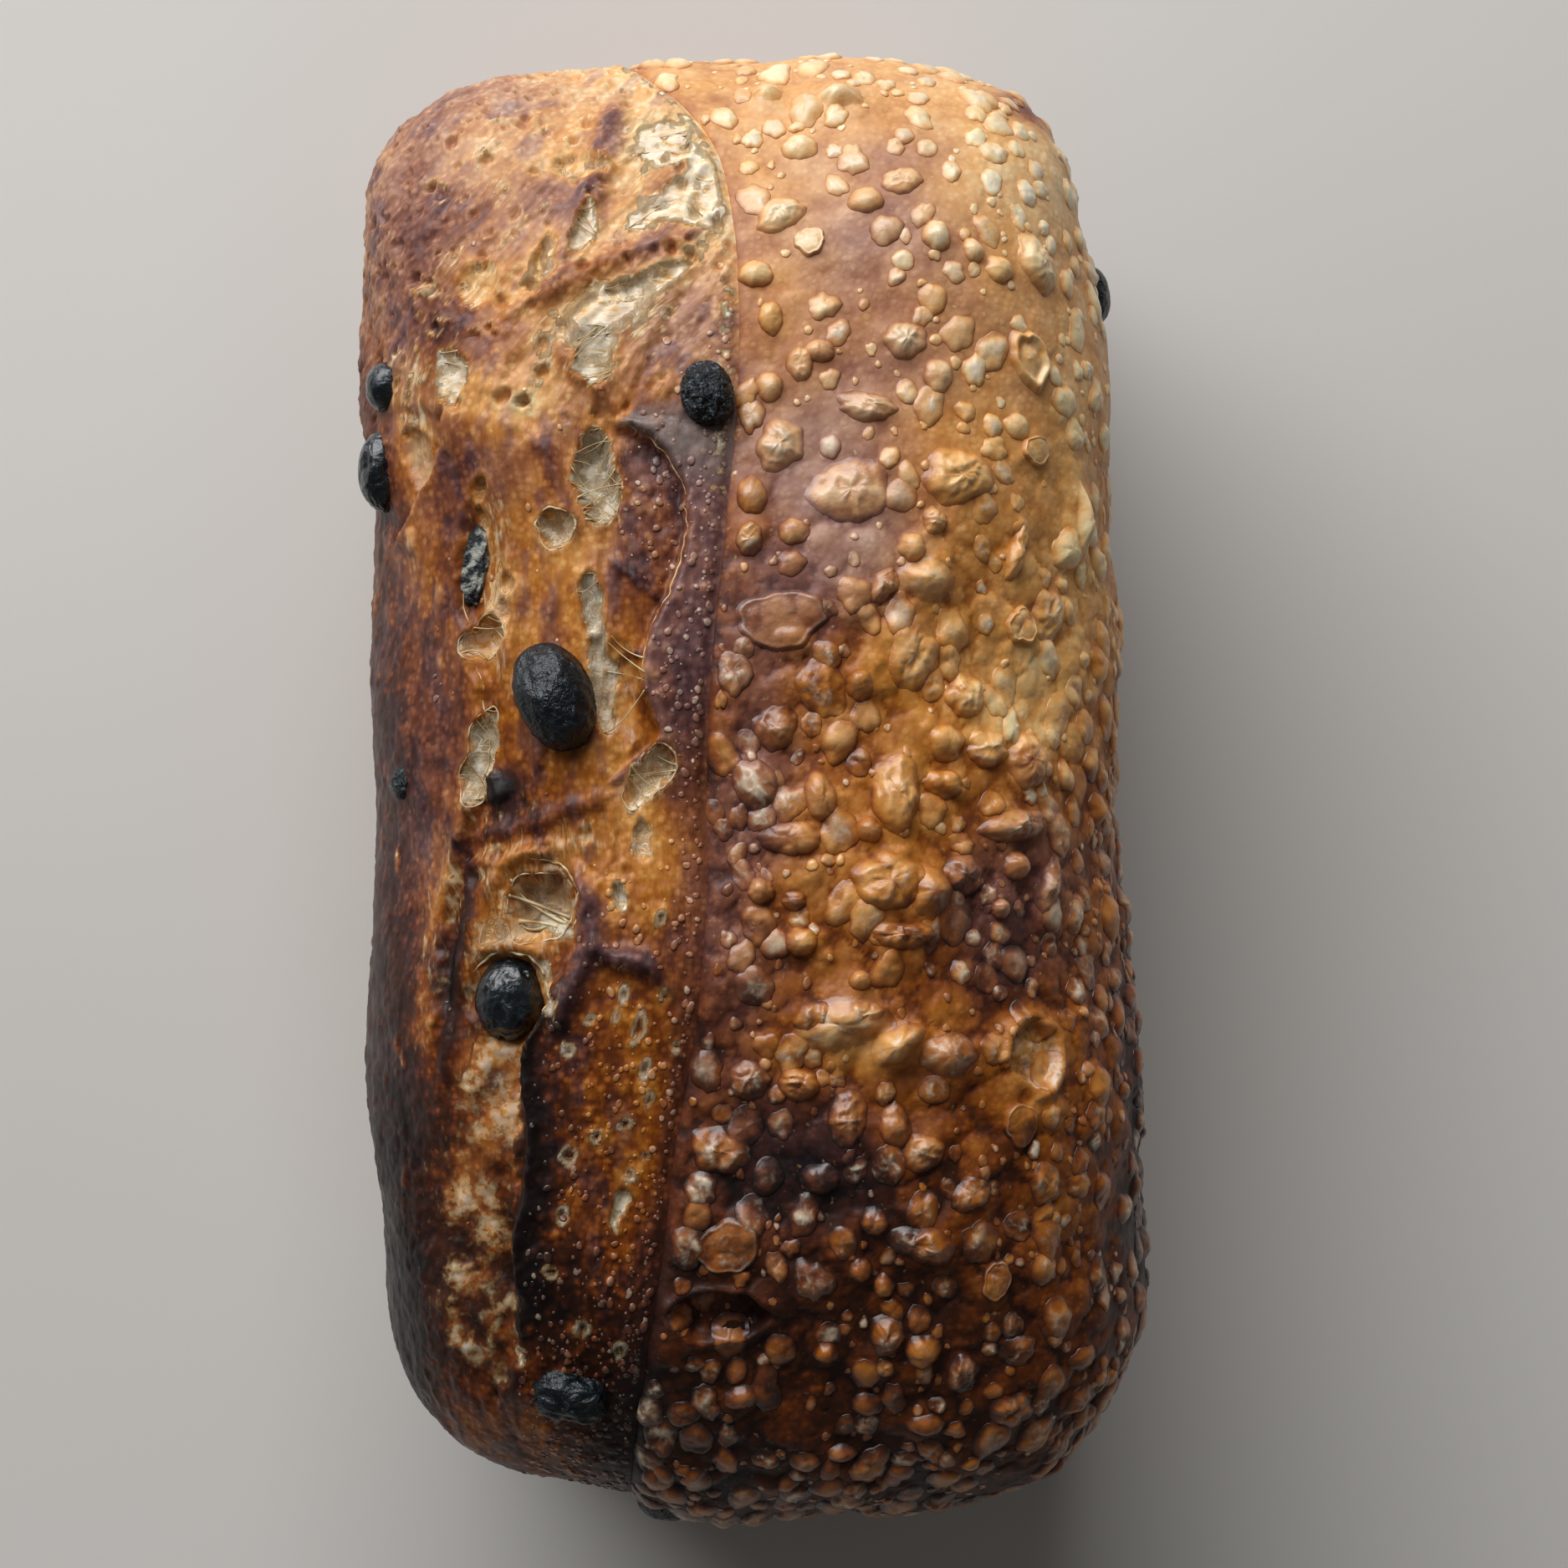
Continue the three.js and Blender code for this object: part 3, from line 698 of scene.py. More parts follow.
blisters = {
    "softSwell": 0.30,  # share of a blister's height that lifts the skin round it
    # place on the plan, half sizes across and along, turn in degrees, height and kind
    "large": [
        (13, 104, 4.0, 2.8, 0, 1.8, "soft"), (2, 106, 2.6, 2.2, 0, 1.3, "soft"),
        (7, 96, 2.8, 2.7, 0, 1.5, "round"), (4, 84, 4.4, 2.8, 35, 1.9, "creased"),
        (8.5, 79.5, 2.5, 2.5, 0, 1.2, "flat"), (0.3, 74, 2.7, 2.4, 0, 1.6, "round"),
        (2.6, 67, 1.9, 2.8, 0, 1.5, "round"), (17, 86, 2.8, 2.4, 0, 1.6, "round"),
        (22.5, 89, 3.1, 2.6, 0, 1.5, "creased"), (27.5, 80, 2.2, 2.7, 0, 1.5, "round"),
        (33, 78, 1.5, 2.2, 20, 1.4, "round"), (37, 75.5, 2.4, 2.3, 0, 1.6, "round"),
        (43, 77.5, 3.3, 5.2, 25, 2.0, "creased"), (23, 64, 3.3, 3.2, 0, 1.9, "creased"),
        (28, 58.5, 2.5, 2.8, 0, 1.5, "round"), (41.5, 62, 3.3, 5.0, 10, 1.7, "ring"),
        (7, 60, 2.0, 2.9, 0, 1.5, "creased"), (10, 62, 2.4, 1.9, 0, 1.3, "round"),
        (2.4, 56.5, 2.1, 2.4, 0, 1.5, "round"), (17, 53.5, 4.8, 2.3, -8, 1.7, "creased"),
        (4, 47.5, 3.6, 4.3, -15, 2.0, "creased"), (14.5, 40.5, 6.0, 5.4, 0, 1.7, "creased"),
        (30.5, 43, 5.6, 4.6, 15, 2.4, "creased"), (42.5, 48, 2.5, 2.5, 0, 1.5, "flat"),
        (4.2, 20.7, 6.8, 4.6, 0, 1.1, "flat"), (-0.5, 32.7, 1.9, 2.9, 0, 1.5, "creased"),
        (-0.2, 39.5, 2.3, 3.2, 0, 1.5, "round"), (23.5, 32, 2.1, 2.4, 0, 1.8, "round"),
        (27, 36, 2.0, 2.1, 0, 1.4, "creased"), (26, 27, 4.6, 3.6, 0, 1.4, "soft"),
        (19.5, 26, 1.9, 3.0, -35, 1.9, "creased"), (24, 16, 4.0, 6.0, -8, 1.6, "creased"),
        (40.5, 21, 2.8, 2.9, 0, 1.8, "flat"), (45, 23, 3.3, 4.6, -20, 1.8, "creased"),
        (39.5, 32, 1.5, 4.8, -18, 1.8, "creased"), (49.5, 38, 1.9, 6.8, 0, 1.8, "soft"),
        (10.2, 10.5, 3.7, 4.6, 10, 1.7, "creased"), (15.7, 11, 2.1, 2.4, 0, 1.9, "round"),
        (32, 10, 3.5, 3.3, 0, 2.0, "creased"), (3.3, 4.6, 3.3, 3.5, 0, 1.6, "creased"),
        (28.7, 2.7, 3.0, 3.0, 0, 1.5, "round"), (35, 2, 3.8, 2.8, 0, 1.8, "creased"),
        (41, 0.5, 3.5, 4.5, 0, 2.4, "creased"), (21, -5, 3.7, 6.2, 0, 2.2, "creased"),
        (28, -3.5, 2.9, 2.4, 0, 1.7, "round"), (9.9, -5.6, 2.4, 4.0, 10, 1.9, "round"),
        (5.5, -11.8, 5.0, 2.4, 0, 1.8, "round"), (17, -10.5, 2.0, 2.0, 0, 1.6, "round"),
        (0.4, -4, 3.3, 4.4, 15, 1.6, "creased"), (38.7, -9.5, 5.8, 2.6, 12, 2.0, "creased"),
        (1.2, -19.5, 2.1, 2.1, 0, 1.9, "round"), (6, -21, 1.9, 1.5, 0, 1.5, "round"),
        (19.7, -18, 5.6, 4.3, 20, 2.8, "creased"), (26, -19.5, 3.8, 3.8, 0, 2.0, "soft"),
        (22, -26, 5.0, 2.2, 0, 2.2, "creased"), (31, -17, 3.2, 3.0, 20, 2.0, "creased"),
        (39, -15.5, 2.3, 2.4, 0, 1.8, "round"), (44.3, -18.3, 2.0, 4.7, -22, 2.0, "creased"),
        (36.5, -22, 1.6, 1.6, 0, 1.6, "round"), (7, -27, 2.5, 2.4, 0, 1.9, "round"),
        (15.8, -32.6, 1.7, 1.6, 0, 1.6, "round"), (13, -39, 7.6, 4.2, 8, 2.1, "soft"),
        (9.5, -38, 3.6, 2.4, 10, 1.9, "creased"), (21, -42, 4.6, 2.6, 38, 2.4, "soft"),
        (15.6, -37.6, 3.8, 2.0, 16, 1.8, "creased"), (28.5, -43.5, 4.4, 3.5, 0, 1.7, "soft"),
        (-0.5, -47.5, 3.2, 3.0, 0, 2.2, "creased"), (6.8, -48, 3.1, 2.7, 0, 2.2, "creased"),
        (14, -53, 2.9, 4.5, -10, 1.9, "creased"), (21, -54, 2.4, 3.5, 10, 1.6, "round"),
        (39, -54, 2.8, 3.4, 0, 1.6, "flat"), (25, -58, 3.4, 2.9, 20, 1.8, "creased"),
        (18, -68, 2.1, 2.3, 0, 2.0, "round"), (10, -62, 2.9, 2.6, 0, 1.8, "round"),
        (-5, -58, 4.6, 3.6, -25, 2.0, "creased"), (-3.8, -72, 5.0, 4.4, 15, 1.3, "flat"),
        (25, -71.5, 5.0, 3.1, -10, 2.6, "creased"), (16, -75.5, 1.8, 2.0, 0, 1.6, "round"),
        (19.5, -78, 1.8, 2.0, 0, 1.6, "round"), (36, -77, 2.3, 3.2, 0, 1.6, "flat"),
        (20, -85.5, 2.9, 3.4, 0, 1.8, "creased"), (11, -88.3, 2.0, 1.9, 0, 2.0, "round"),
        (25.5, -88, 2.9, 2.9, 0, 1.8, "round"), (31.5, -91.5, 2.7, 3.1, 0, 1.9, "creased"),
        (-1.7, -95, 2.9, 2.0, 0, 1.8, "round"), (4, -88, 2.7, 2.8, 0, 1.4, "round"),
        (26, -99, 2.9, 2.0, 0, 1.6, "round"), (39, -97, 3.6, 3.0, 0, 1.6, "creased"),
        (13.4, -104, 2.4, 1.7, 0, 1.5, "round"), (32, -64, 3.4, 2.4, 30, 1.4, "creased"),
        (43, -63, 2.6, 3.6, 15, 1.4, "creased"), (6, 34, 2.4, 2.2, 0, 1.4, "round"),
    ],
    "lower": 0.80,  # all of their heights times this
    "mesh": (52, 17),  # points round and rings out
    "toneSeed": 5,
    "shapeSeed": 8,
    "sunk": 0.30,  # how far under the skin the last ring of every blister goes
    "root": 1.1,  # how deep each one closes
}
blisterKinds = {"round": 0, "creased": 1, "flat": 2, "ring": 3, "soft": 4}
# the torn blister with pale crumb inside, and the burst, burnt one:
# place, half sizes, turn, depth, crumb, golden, browner by
tornBlisters = [
    ((41.4, -43.5), (3.9, 5.0), 10, 1.6, 0.7, 0.9, -0.12),
    ((-4.9, -82.3), (7.0, 3.7), 0, 2.4, 0.0, 0.1, 0.0),
]


def domes(points, size, seed):
    # packed round swellings: each scattered centre's random number sets its radius
    away, number = pores(points, size, seed)
    radius = 0.40 + 0.24 * number
    return np.sqrt(np.maximum(1 - (away / radius) ** 2, 0)), number


def swellUnder(base, marks):
    # the skin rises as a bell curve round each blister, and the highest of them counts
    x, y = base[..., 0], base[..., 1]
    top = base[..., 2] > loafForm["top"]
    swell = np.zeros(x.shape)
    for bx, by, across, along, turn, tall in marks:
        reach = 2.2 * max(across, along)
        close = top & (np.abs(x - bx) < reach) & (np.abs(y - by) < reach)
        out = insideOval(x[close], y[close], (bx, by), (across, along), turn)
        swell[close] = np.maximum(swell[close], tall * bell(out, 1.1))
    return swell


def blisteredCrust():
    # the base form moved out along its normals: unevenness plus packed swellings and wrinkles
    s, t = crustGridSteps(1)
    base = topPoint(s, t)
    normals = gridNormals(base)
    y = base[..., 1]
    height = uneven(base) + 0.35 * layeredWaves(base, 9, 3, 31)
    around = base + 0.9 * noises(base, 4, (41, 42, 43))
    around = around + 0.25 * noises(base, 1.7, (44, 45, 46))
    marks = [
        (bx, by, across, along, turn, tall * (1 if kind == "soft" else blisters["softSwell"]))
        for bx, by, across, along, turn, tall, kind in blisters["large"]
    ]
    swell = swellUnder(around, marks)
    height = height + swell
    brown, purple, golden = roastAt(base)
    crowd = mix(1, 0.35, smoothStep(y, 15, 60))
    cover, crumb, ash = np.zeros(y.shape), np.zeros(y.shape), np.zeros(y.shape)
    # each swelling takes a random tone and goes paler towards its top: the paler tops are painted
    # light
    for size, tall, seed in ((7.5, 0.75, 55), (4.4, 0.36, 56), (2.4, 0.16, 57)):
        dome, number = domes(around, size, seed)
        standing = dome * smoothStep(number, 0.0, 0.5)
        height = height + tall * crowd * standing
        brown = brown + crowd * (0.09 * (number - 0.5) * (dome > 0) - 0.06 * standing)
        golden = golden + 0.3 * crowd * (number - 0.4) * standing
        cover = np.maximum(cover, standing)
    # fine creases between the swellings darker, swells round blisters paler: painted shade and
    # painted light
    brown = brown + 0.10 * crowd * smoothStep(cover, 0.45, 0.05) - 0.03 * swell
    height = height - 0.10 * np.abs(layeredWaves(base, 2.6, 2, 51))
    for place, size, turn, depth, torn, yolk, browner in tornBlisters:
        out = insideOval(around[..., 0], around[..., 1], place, size, turn)
        inside = smoothStep(out, 1.05, 0.8)
        height = height - depth * inside + 0.9 * bell(out - 1.12, 0.16)
        height = height + inside * 0.7 * np.abs(waves(base, 1.5, 62))
        crumb = np.maximum(crumb, torn * smoothStep(out, 1.15, 0.9))
        golden = mix(golden, yolk, inside)
        brown = brown + browner * smoothStep(out, 1.7, 0.9)
    # the skin dips to the score line, with flour specks and a fine dried edge
    fromScore = (s - scoreAt[:, None]) * crustGrid["stepLength"]
    height = mix(height, uneven(base), bell(fromScore, 1.2)) - 0.5 * np.exp(-fromScore / 0.6)
    edge = bell(fromScore - 0.5, 0.4) * smoothStep(waves(base, 2.2, 63), 0.1, 0.5)
    crumb = np.maximum(crumb, 0.55 * edge * smoothStep(y, -40, 60))
    brown = brown + 0.12 * bell(fromScore - 0.1, 0.8) + 0.06 * bell(fromScore - 1.5, 1.5)
    purple = purple + 0.3 * bell(fromScore, 3) * smoothStep(y, 15, -5)
    points = base + normals * height[..., None]
    tones = np.clip(np.stack([brown, purple, golden], -1), 0, 1)
    crust = CrustSurface(s, t, points, tones)
    shell, faces, source = closedUnder(s, t, points, crustGrid["rightHeart"])
    channels = {"brown": brown, "purple": purple, "golden": golden, "crumb": crumb, "ash": ash}
    look = crustLook | {"pebble": 1.15, "pebbleHigh": 0.06, "pebblePaler": 0.07, "mottle": 0.18}
    material = bakedCrust("baked blistered crust", look)
    writeMesh("blisteredCrust", shell, faces, onShell(channels, source), material, ["loaf"])
    return crust


def capFaces(count, aroundCount, outCount):
    # a cap's points are its top, its rings outwards and its root: quads join the rings, and
    # triangles join the first ring to the top and the last one to the root
    perBlister = outCount * aroundCount + 2
    quads = gridFaces(outCount, aroundCount, wrap=True)[:, ::-1] + 1
    first = 1 + np.arange(aroundCount)
    last = first + (outCount - 1) * aroundCount
    cap = np.stack([np.full(aroundCount, 0), first, np.roll(first, -1)], -1)
    under = np.stack([np.full(aroundCount, perBlister - 1), np.roll(last, -1), last], -1)
    shift = (np.arange(count) * perBlister)[:, None, None]
    parts = quads, np.vstack([cap, under])
    return [(part[None] + shift).reshape(-1, part.shape[1]) for part in parts]


def blisterShapes(crust, marks, meshCounts, seed):
    # each blister is a cap: rings go out over the crust, and its profile lifts them along the
    # crust's normals
    dice = np.random.default_rng(seed)
    aroundCount, outCount = meshCounts
    s0, t0 = marks["s"], marks["t"]
    count = len(s0)

    def each(key):
        # a mark's values, one for each blister, shaped to spread over its rings
        return marks[key][:, None, None]

    step = 0.004  # a small step over the crust, to find its slopes
    acrossStep = (topPoint(s0 + step, t0) - topPoint(s0 - step, t0)) / (2 * step)
    alongStep = (topPoint(s0, t0 + step) - topPoint(s0, t0 - step)) / (2 * step)
    normal = unit(np.cross(acrossStep, alongStep))
    toRight = unit(np.cross((0, 1, 0), normal))
    toFar = np.cross(normal, toRight)
    turn = np.radians(marks["turn"])[:, None]
    axisA = toRight * np.cos(turn) + toFar * np.sin(turn)
    axisB = toFar * np.cos(turn) - toRight * np.sin(turn)

    ring = np.linspace(0, 2 * np.pi, aroundCount, endpoint=False)[None, None, :]
    rise = np.linspace(0, 1, outCount + 1)[1:][None, :, None]
    out = np.sin(rise * np.pi / 2) ** 0.9
    wobble = 1.0
    for waveCount, strength in ((2, 0.09), (3, 0.10), (5, 0.07), (7, 0.05), (11, 0.03)):
        phase = dice.uniform(0, 2 * np.pi, (count, 1, 1))
        size = dice.uniform(0.3, 1, (count, 1, 1)) * strength * each("ragged")
        wobble = wobble + size * np.sin(waveCount * ring + phase)
    u = out * np.cos(ring) * wobble
    v = out * np.sin(ring) * wobble
    # millimetres over the cap, which give folds one size on every blister
    place = np.stack([u * each("across"), v * each("along"), 0 * u], -1)
    offset = place[..., :1] * axisA[:, None, None] + place[..., 1:2] * axisB[:, None, None]

    # the offset in millimetres becomes an offset in grid steps through the crust's own slopes
    aa = (acrossStep**2).sum(-1)[:, None, None]
    bb = (alongStep**2).sum(-1)[:, None, None]
    ab = (acrossStep * alongStep).sum(-1)[:, None, None]
    oa = (offset * acrossStep[:, None, None]).sum(-1)
    ob = (offset * alongStep[:, None, None]).sum(-1)
    spread = aa * bb - ab * ab
    s = s0[:, None, None] + (oa * bb - ob * ab) / spread
    t = t0[:, None, None] + (ob * aa - oa * ab) / spread
    ground, up, tones = crust.at(s.reshape(count, -1), t.reshape(count, -1))
    ground, tones = ground.reshape(*s.shape, 3), tones.reshape(*s.shape, -1)
    up = unit(up.reshape(*s.shape, 3) + 2 * normal[:, None, None])

    # profiles of the kinds, with folds and crumples read from noise at a place of their own
    apart = dice.uniform(0, 700, (count, 1, 1, 3))
    kind = each("kind")
    bent = place + 0.7 * noises(place + apart, 2.6, (seed + 1, seed + 2, seed + 5))
    foldTurn = dice.uniform(0, np.pi, (count, 1, 1))
    cu, cv = np.cos(foldTurn), np.sin(foldTurn)
    overFold = bent[..., 0] * cu + bent[..., 1] * cv
    alongFold = (bent[..., 1] * cu - bent[..., 0] * cv) / 2.2
    drawn = np.stack([overFold, alongFold, 0 * u], -1)
    folds = np.clip(1 - 2.5 * np.abs(layeredWaves(drawn + apart, 2.6, 2, seed + 3)), 0, 1) ** 1.5
    crumple = np.clip(1 - 2.6 * np.abs(waves(bent + apart, 1.3, seed + 4)), 0, 1) ** 1.5
    roundProfile = np.maximum(1 - out**2.2, 0) ** 0.85
    softProfile = (1 - out**2) ** 2
    flatProfile = 0.62 * np.maximum(1 - out**6, 0) ** 0.8 + 0.22 * bell(out - 0.86, 0.06)
    flatProfile = flatProfile + 0.12 * folds * (1 - out)
    ringProfile = 0.75 * bell(out - 0.76, 0.15) + bell(out, 0.5) * (0.35 + 0.3 * folds)
    creasedProfile = np.maximum(1 - out**2.4, 0) ** 0.95 * (0.58 + 0.36 * folds + 0.12 * crumple)
    # in the order of blisterKinds, the soft kind last
    profiles = [roundProfile * (0.92 + 0.08 * folds), creasedProfile, flatProfile, ringProfile]
    isKind = [kind == k for k in range(4)]
    lift = np.select(isKind, profiles, softProfile)
    tilt = 1 + 0.22 * np.sin(ring + dice.uniform(0, 6.28, (count, 1, 1))) * out
    height = lift * each("tall") * tilt
    height[:, -1] = -blisters["sunk"]
    points = ground + up * height[..., None]
    middle = np.select(isKind, [0.97, 0.86, 0.66, 0.55], 1.0) * each("tall")
    bottom, _, _ = crust.at(s0, t0)
    top = bottom + normal * mix(middle[:, 0], height[:, 0].mean(1)[:, None], 0.8)
    root = bottom - normal * blisters["root"]
    every = np.concatenate([top[:, None], points.reshape(count, -1, 3), root[:, None]], axis=1)

    # the film shows the skin's own tone, paler towards its top, with cream lines on its folds and
    # its rim
    isFlat, isRound = kind == blisterKinds["flat"], kind == blisterKinds["round"]
    line = bell(out - 0.86, 0.05) * np.where(isFlat, 1.0, 0.25) * (out < 0.97)
    # paler towards the top: partly a paler film, partly painted sheen
    brown = tones[..., 0] - each("paler") * smoothStep(lift, 0, 0.8)
    # browner towards the rim: painted shade at the blister's foot
    brown = brown + 0.09 * smoothStep(out, 0.7, 1.0)
    purple = tones[..., 1] * mix(1, each("purple"), smoothStep(lift, 0, 0.4))
    golden = tones[..., 2] + each("golden") * smoothStep(lift, 0, 0.4)
    # cream on the folds, on the rim line and over the top: painted highlights
    pale = each("folded") * (0.5 * folds**3 + 0.35 * crumple**3) * roundProfile * ~isRound
    pale = pale + 0.22 * line + (each("pale") + 0.12) * smoothStep(lift, 0.4, 1.0)

    def whole(values):
        # the rings' values, with the first and the last once more for the top and the root
        values = np.broadcast_to(values, (count, outCount, aroundCount)).reshape(count, -1)
        return np.concatenate([values[:, :1], values, values[:, -1:]], axis=1)

    channels = {"brown": brown, "purple": purple, "golden": golden, "pale": pale}
    channels = {key: whole(np.clip(values, 0, 1)) for key, values in channels.items()}
    return every, capFaces(count, aroundCount, outCount), channels


def filmTone(marks, dice):
    # blisters are paler and more golden than the skin under them, most of all where it is dark
    point = topPoint(marks["s"], marks["t"])
    brown, _, _ = roastAt(point)
    count = len(brown)
    x, y = point[:, 0], point[:, 1]
    # paler: how much the film pales towards its top, partly a paler film, partly painted sheen
    marks["paler"] = 0.07 + 0.15 * smoothStep(brown, 0.6, 0.85) + 0.09 * smoothStep(y, 20, 60)
    marks["paler"] += dice.normal(0, 0.05, count)
    marks["purple"] = np.clip(dice.normal(0.45, 0.25, count), 0, 1)
    marks["golden"] = dice.normal(0.02, 0.16, count) + 0.34 * smoothStep(y, 0, 70)
    marks["golden"] += mix(0.05, 0.22, smoothStep(x, 12, 32)) * smoothStep(y, -35, -65)
    # folded and pale: how much cream highlight is painted on the folds and over the top
    marks["folded"] = np.clip(dice.normal(0.60, 0.3, count), 0, 1)
    marks["pale"] = np.clip(dice.normal(0.0, 0.30, count), 0, 0.8) - 0.05 * smoothStep(y, -25, -55)
    return marks


def largeBlisters(crust, film):
    # the placed ones: the table's columns become marks
    rows = blisters["large"]
    columns = [np.array([row[k] for row in rows], float) for k in range(6)]
    marks = dict(zip(("x", "y", "across", "along", "turn", "tall"), columns))
    marks["tall"] = marks["tall"] * blisters["lower"]
    marks["kind"] = np.array([blisterKinds[row[6]] for row in rows])
    marks["ragged"] = np.where(marks["kind"] == 0, 0.5, 0.85)
    marks["s"], marks["t"] = stepsOver(marks["x"], marks["y"])
    filmTone(marks, np.random.default_rng(blisters["toneSeed"]))
    # less of the painted cream highlight on the large ones
    marks["pale"] = marks["pale"] * 0.4 - 0.06
    shapes = blisterShapes(crust, marks, blisters["mesh"], blisters["shapeSeed"])
    writeMesh("largeBlisters", *shapes, film, ["loaf"])


smallBlisters = {
    "tries": 5200,  # places drawn, of which some are kept
    "sizes": (0.5, 2.9),  # half sizes of the smallest and largest
    "middlingFrom": 1.25,  # half size from which they have a finer mesh
    "meshes": {"middlingBlisters": (24, 8), "beadBlisters": (14, 5)},
    "placeSeed": 19,
    "toneSeed": 23,
    "shapeSeed": 12,
}


def smallBlisterPlaces():
    # random places over the right crust, thinner at the far end, kept off larger neighbours
    dice = np.random.default_rng(smallBlisters["placeSeed"])
    count = smallBlisters["tries"]
    t = dice.uniform(-0.985, 0.97, count)
    start = np.interp(t, crustRows, scoreAt)
    s = start + 0.015 + (0.97 - start) * dice.uniform(0, 1, count)
    point = topPoint(s, t)
    y = point[:, 1]
    low, high = smallBlisters["sizes"]
    size = low + (high - low) * dice.uniform(0, 1, count) ** 1.8
    density = mix(0.62, 0.26, smoothStep(y, -40, 40))
    density = density * mix(1, 0.8, smoothStep(point[:, 2], 85, 66))
    density = density * (0.4 + 1.1 * smoothStep(waves(point, 13, 71), -0.5, 0.5))
    keep = dice.uniform(0, 1, count) < density
    taken = np.array([[row[0], row[1], (row[2] + row[3]) / 2] for row in blisters["large"]])
    takenPoint = topPoint(*stepsOver(taken[:, 0], taken[:, 1]))
    places, sizes = list(takenPoint), list(taken[:, 2])
    chosen = []
    for i in np.flatnonzero(keep)[np.argsort(-size[keep])]:
        away = np.linalg.norm(np.array(places) - point[i], axis=1)
        if np.all(away > 0.74 * (np.array(sizes) + size[i])):
            places.append(point[i])
            sizes.append(size[i])
            chosen.append(i)
    return s[chosen], t[chosen], size[chosen]


def beadMarks(s, t, size, dice):
    # nearly round, a few creased, each a little different
    count = len(s)
    marks = {
        "s": s,
        "t": t,
        "across": size,
        "along": size * dice.uniform(0.85, 1.5, count),
        "turn": dice.uniform(-30, 30, count),
        "tall": size * dice.uniform(0.24, 0.46, count),
        "kind": np.where(dice.uniform(0, 1, count) < 0.6, 1, 0) * (size > 1.0),
        "ragged": dice.uniform(0.5, 1.4, count),
    }
    return filmTone(marks, dice)


def beadBlisters(crust, film):
    # the scattered ones: first those from the middling size on, then the beads
    s, t, size = smallBlisterPlaces()
    dice = np.random.default_rng(smallBlisters["toneSeed"])
    middling = size > smallBlisters["middlingFrom"]
    for (name, mesh), chosen in zip(smallBlisters["meshes"].items(), (middling, ~middling)):
        marks = beadMarks(s[chosen], t[chosen], size[chosen], dice)
        shapes = blisterShapes(crust, marks, mesh, smallBlisters["shapeSeed"])
        writeMesh(name, *shapes, film, ["loaf"])


leftBeads = {
    "tries": 5200,
    "sizes": (0.22, 0.75),  # half sizes of the smallest and largest
    "mesh": (9, 3),
    "seed": 61,
    "shapeSeed": 14,
}


def leftBeadBlisters(crust, film):
    # tiny pale beads where the left crust kept its skin: they fill the places where it is bumpy
    dice = np.random.default_rng(leftBeads["seed"])
    count = leftBeads["tries"]
    t = dice.uniform(-0.95, 0.6, count)
    start = np.interp(t, crustRows, scoreAt)
    s = start - 0.01 - (start + 0.93) * dice.uniform(0, 1, count) ** 1.5
    spot, _, tones = crust.at(s, t)
    keep = dice.uniform(0, 1.5, count) < tones[..., 3] ** 2
    keep = keep & (spot[..., 0] - leanAt(spot[..., 1]) > -47)
    s, t = s[keep], t[keep]
    low, high = leftBeads["sizes"]
    size = low + (high - low) * dice.uniform(0, 1, len(s)) ** 2.2
    marks = beadMarks(s, t, size, dice)
    # the beads' tops pale less: less painted sheen
    marks["paler"] = marks["paler"] * 0.3 + 0.05
    marks["purple"] = 0.9 + 0 * size
    marks["golden"] = -0.25 + 0 * size
    shapes = blisterShapes(crust, marks, leftBeads["mesh"], leftBeads["shapeSeed"])
    writeMesh("burstCrustBeads", *shapes, film, ["loaf"])


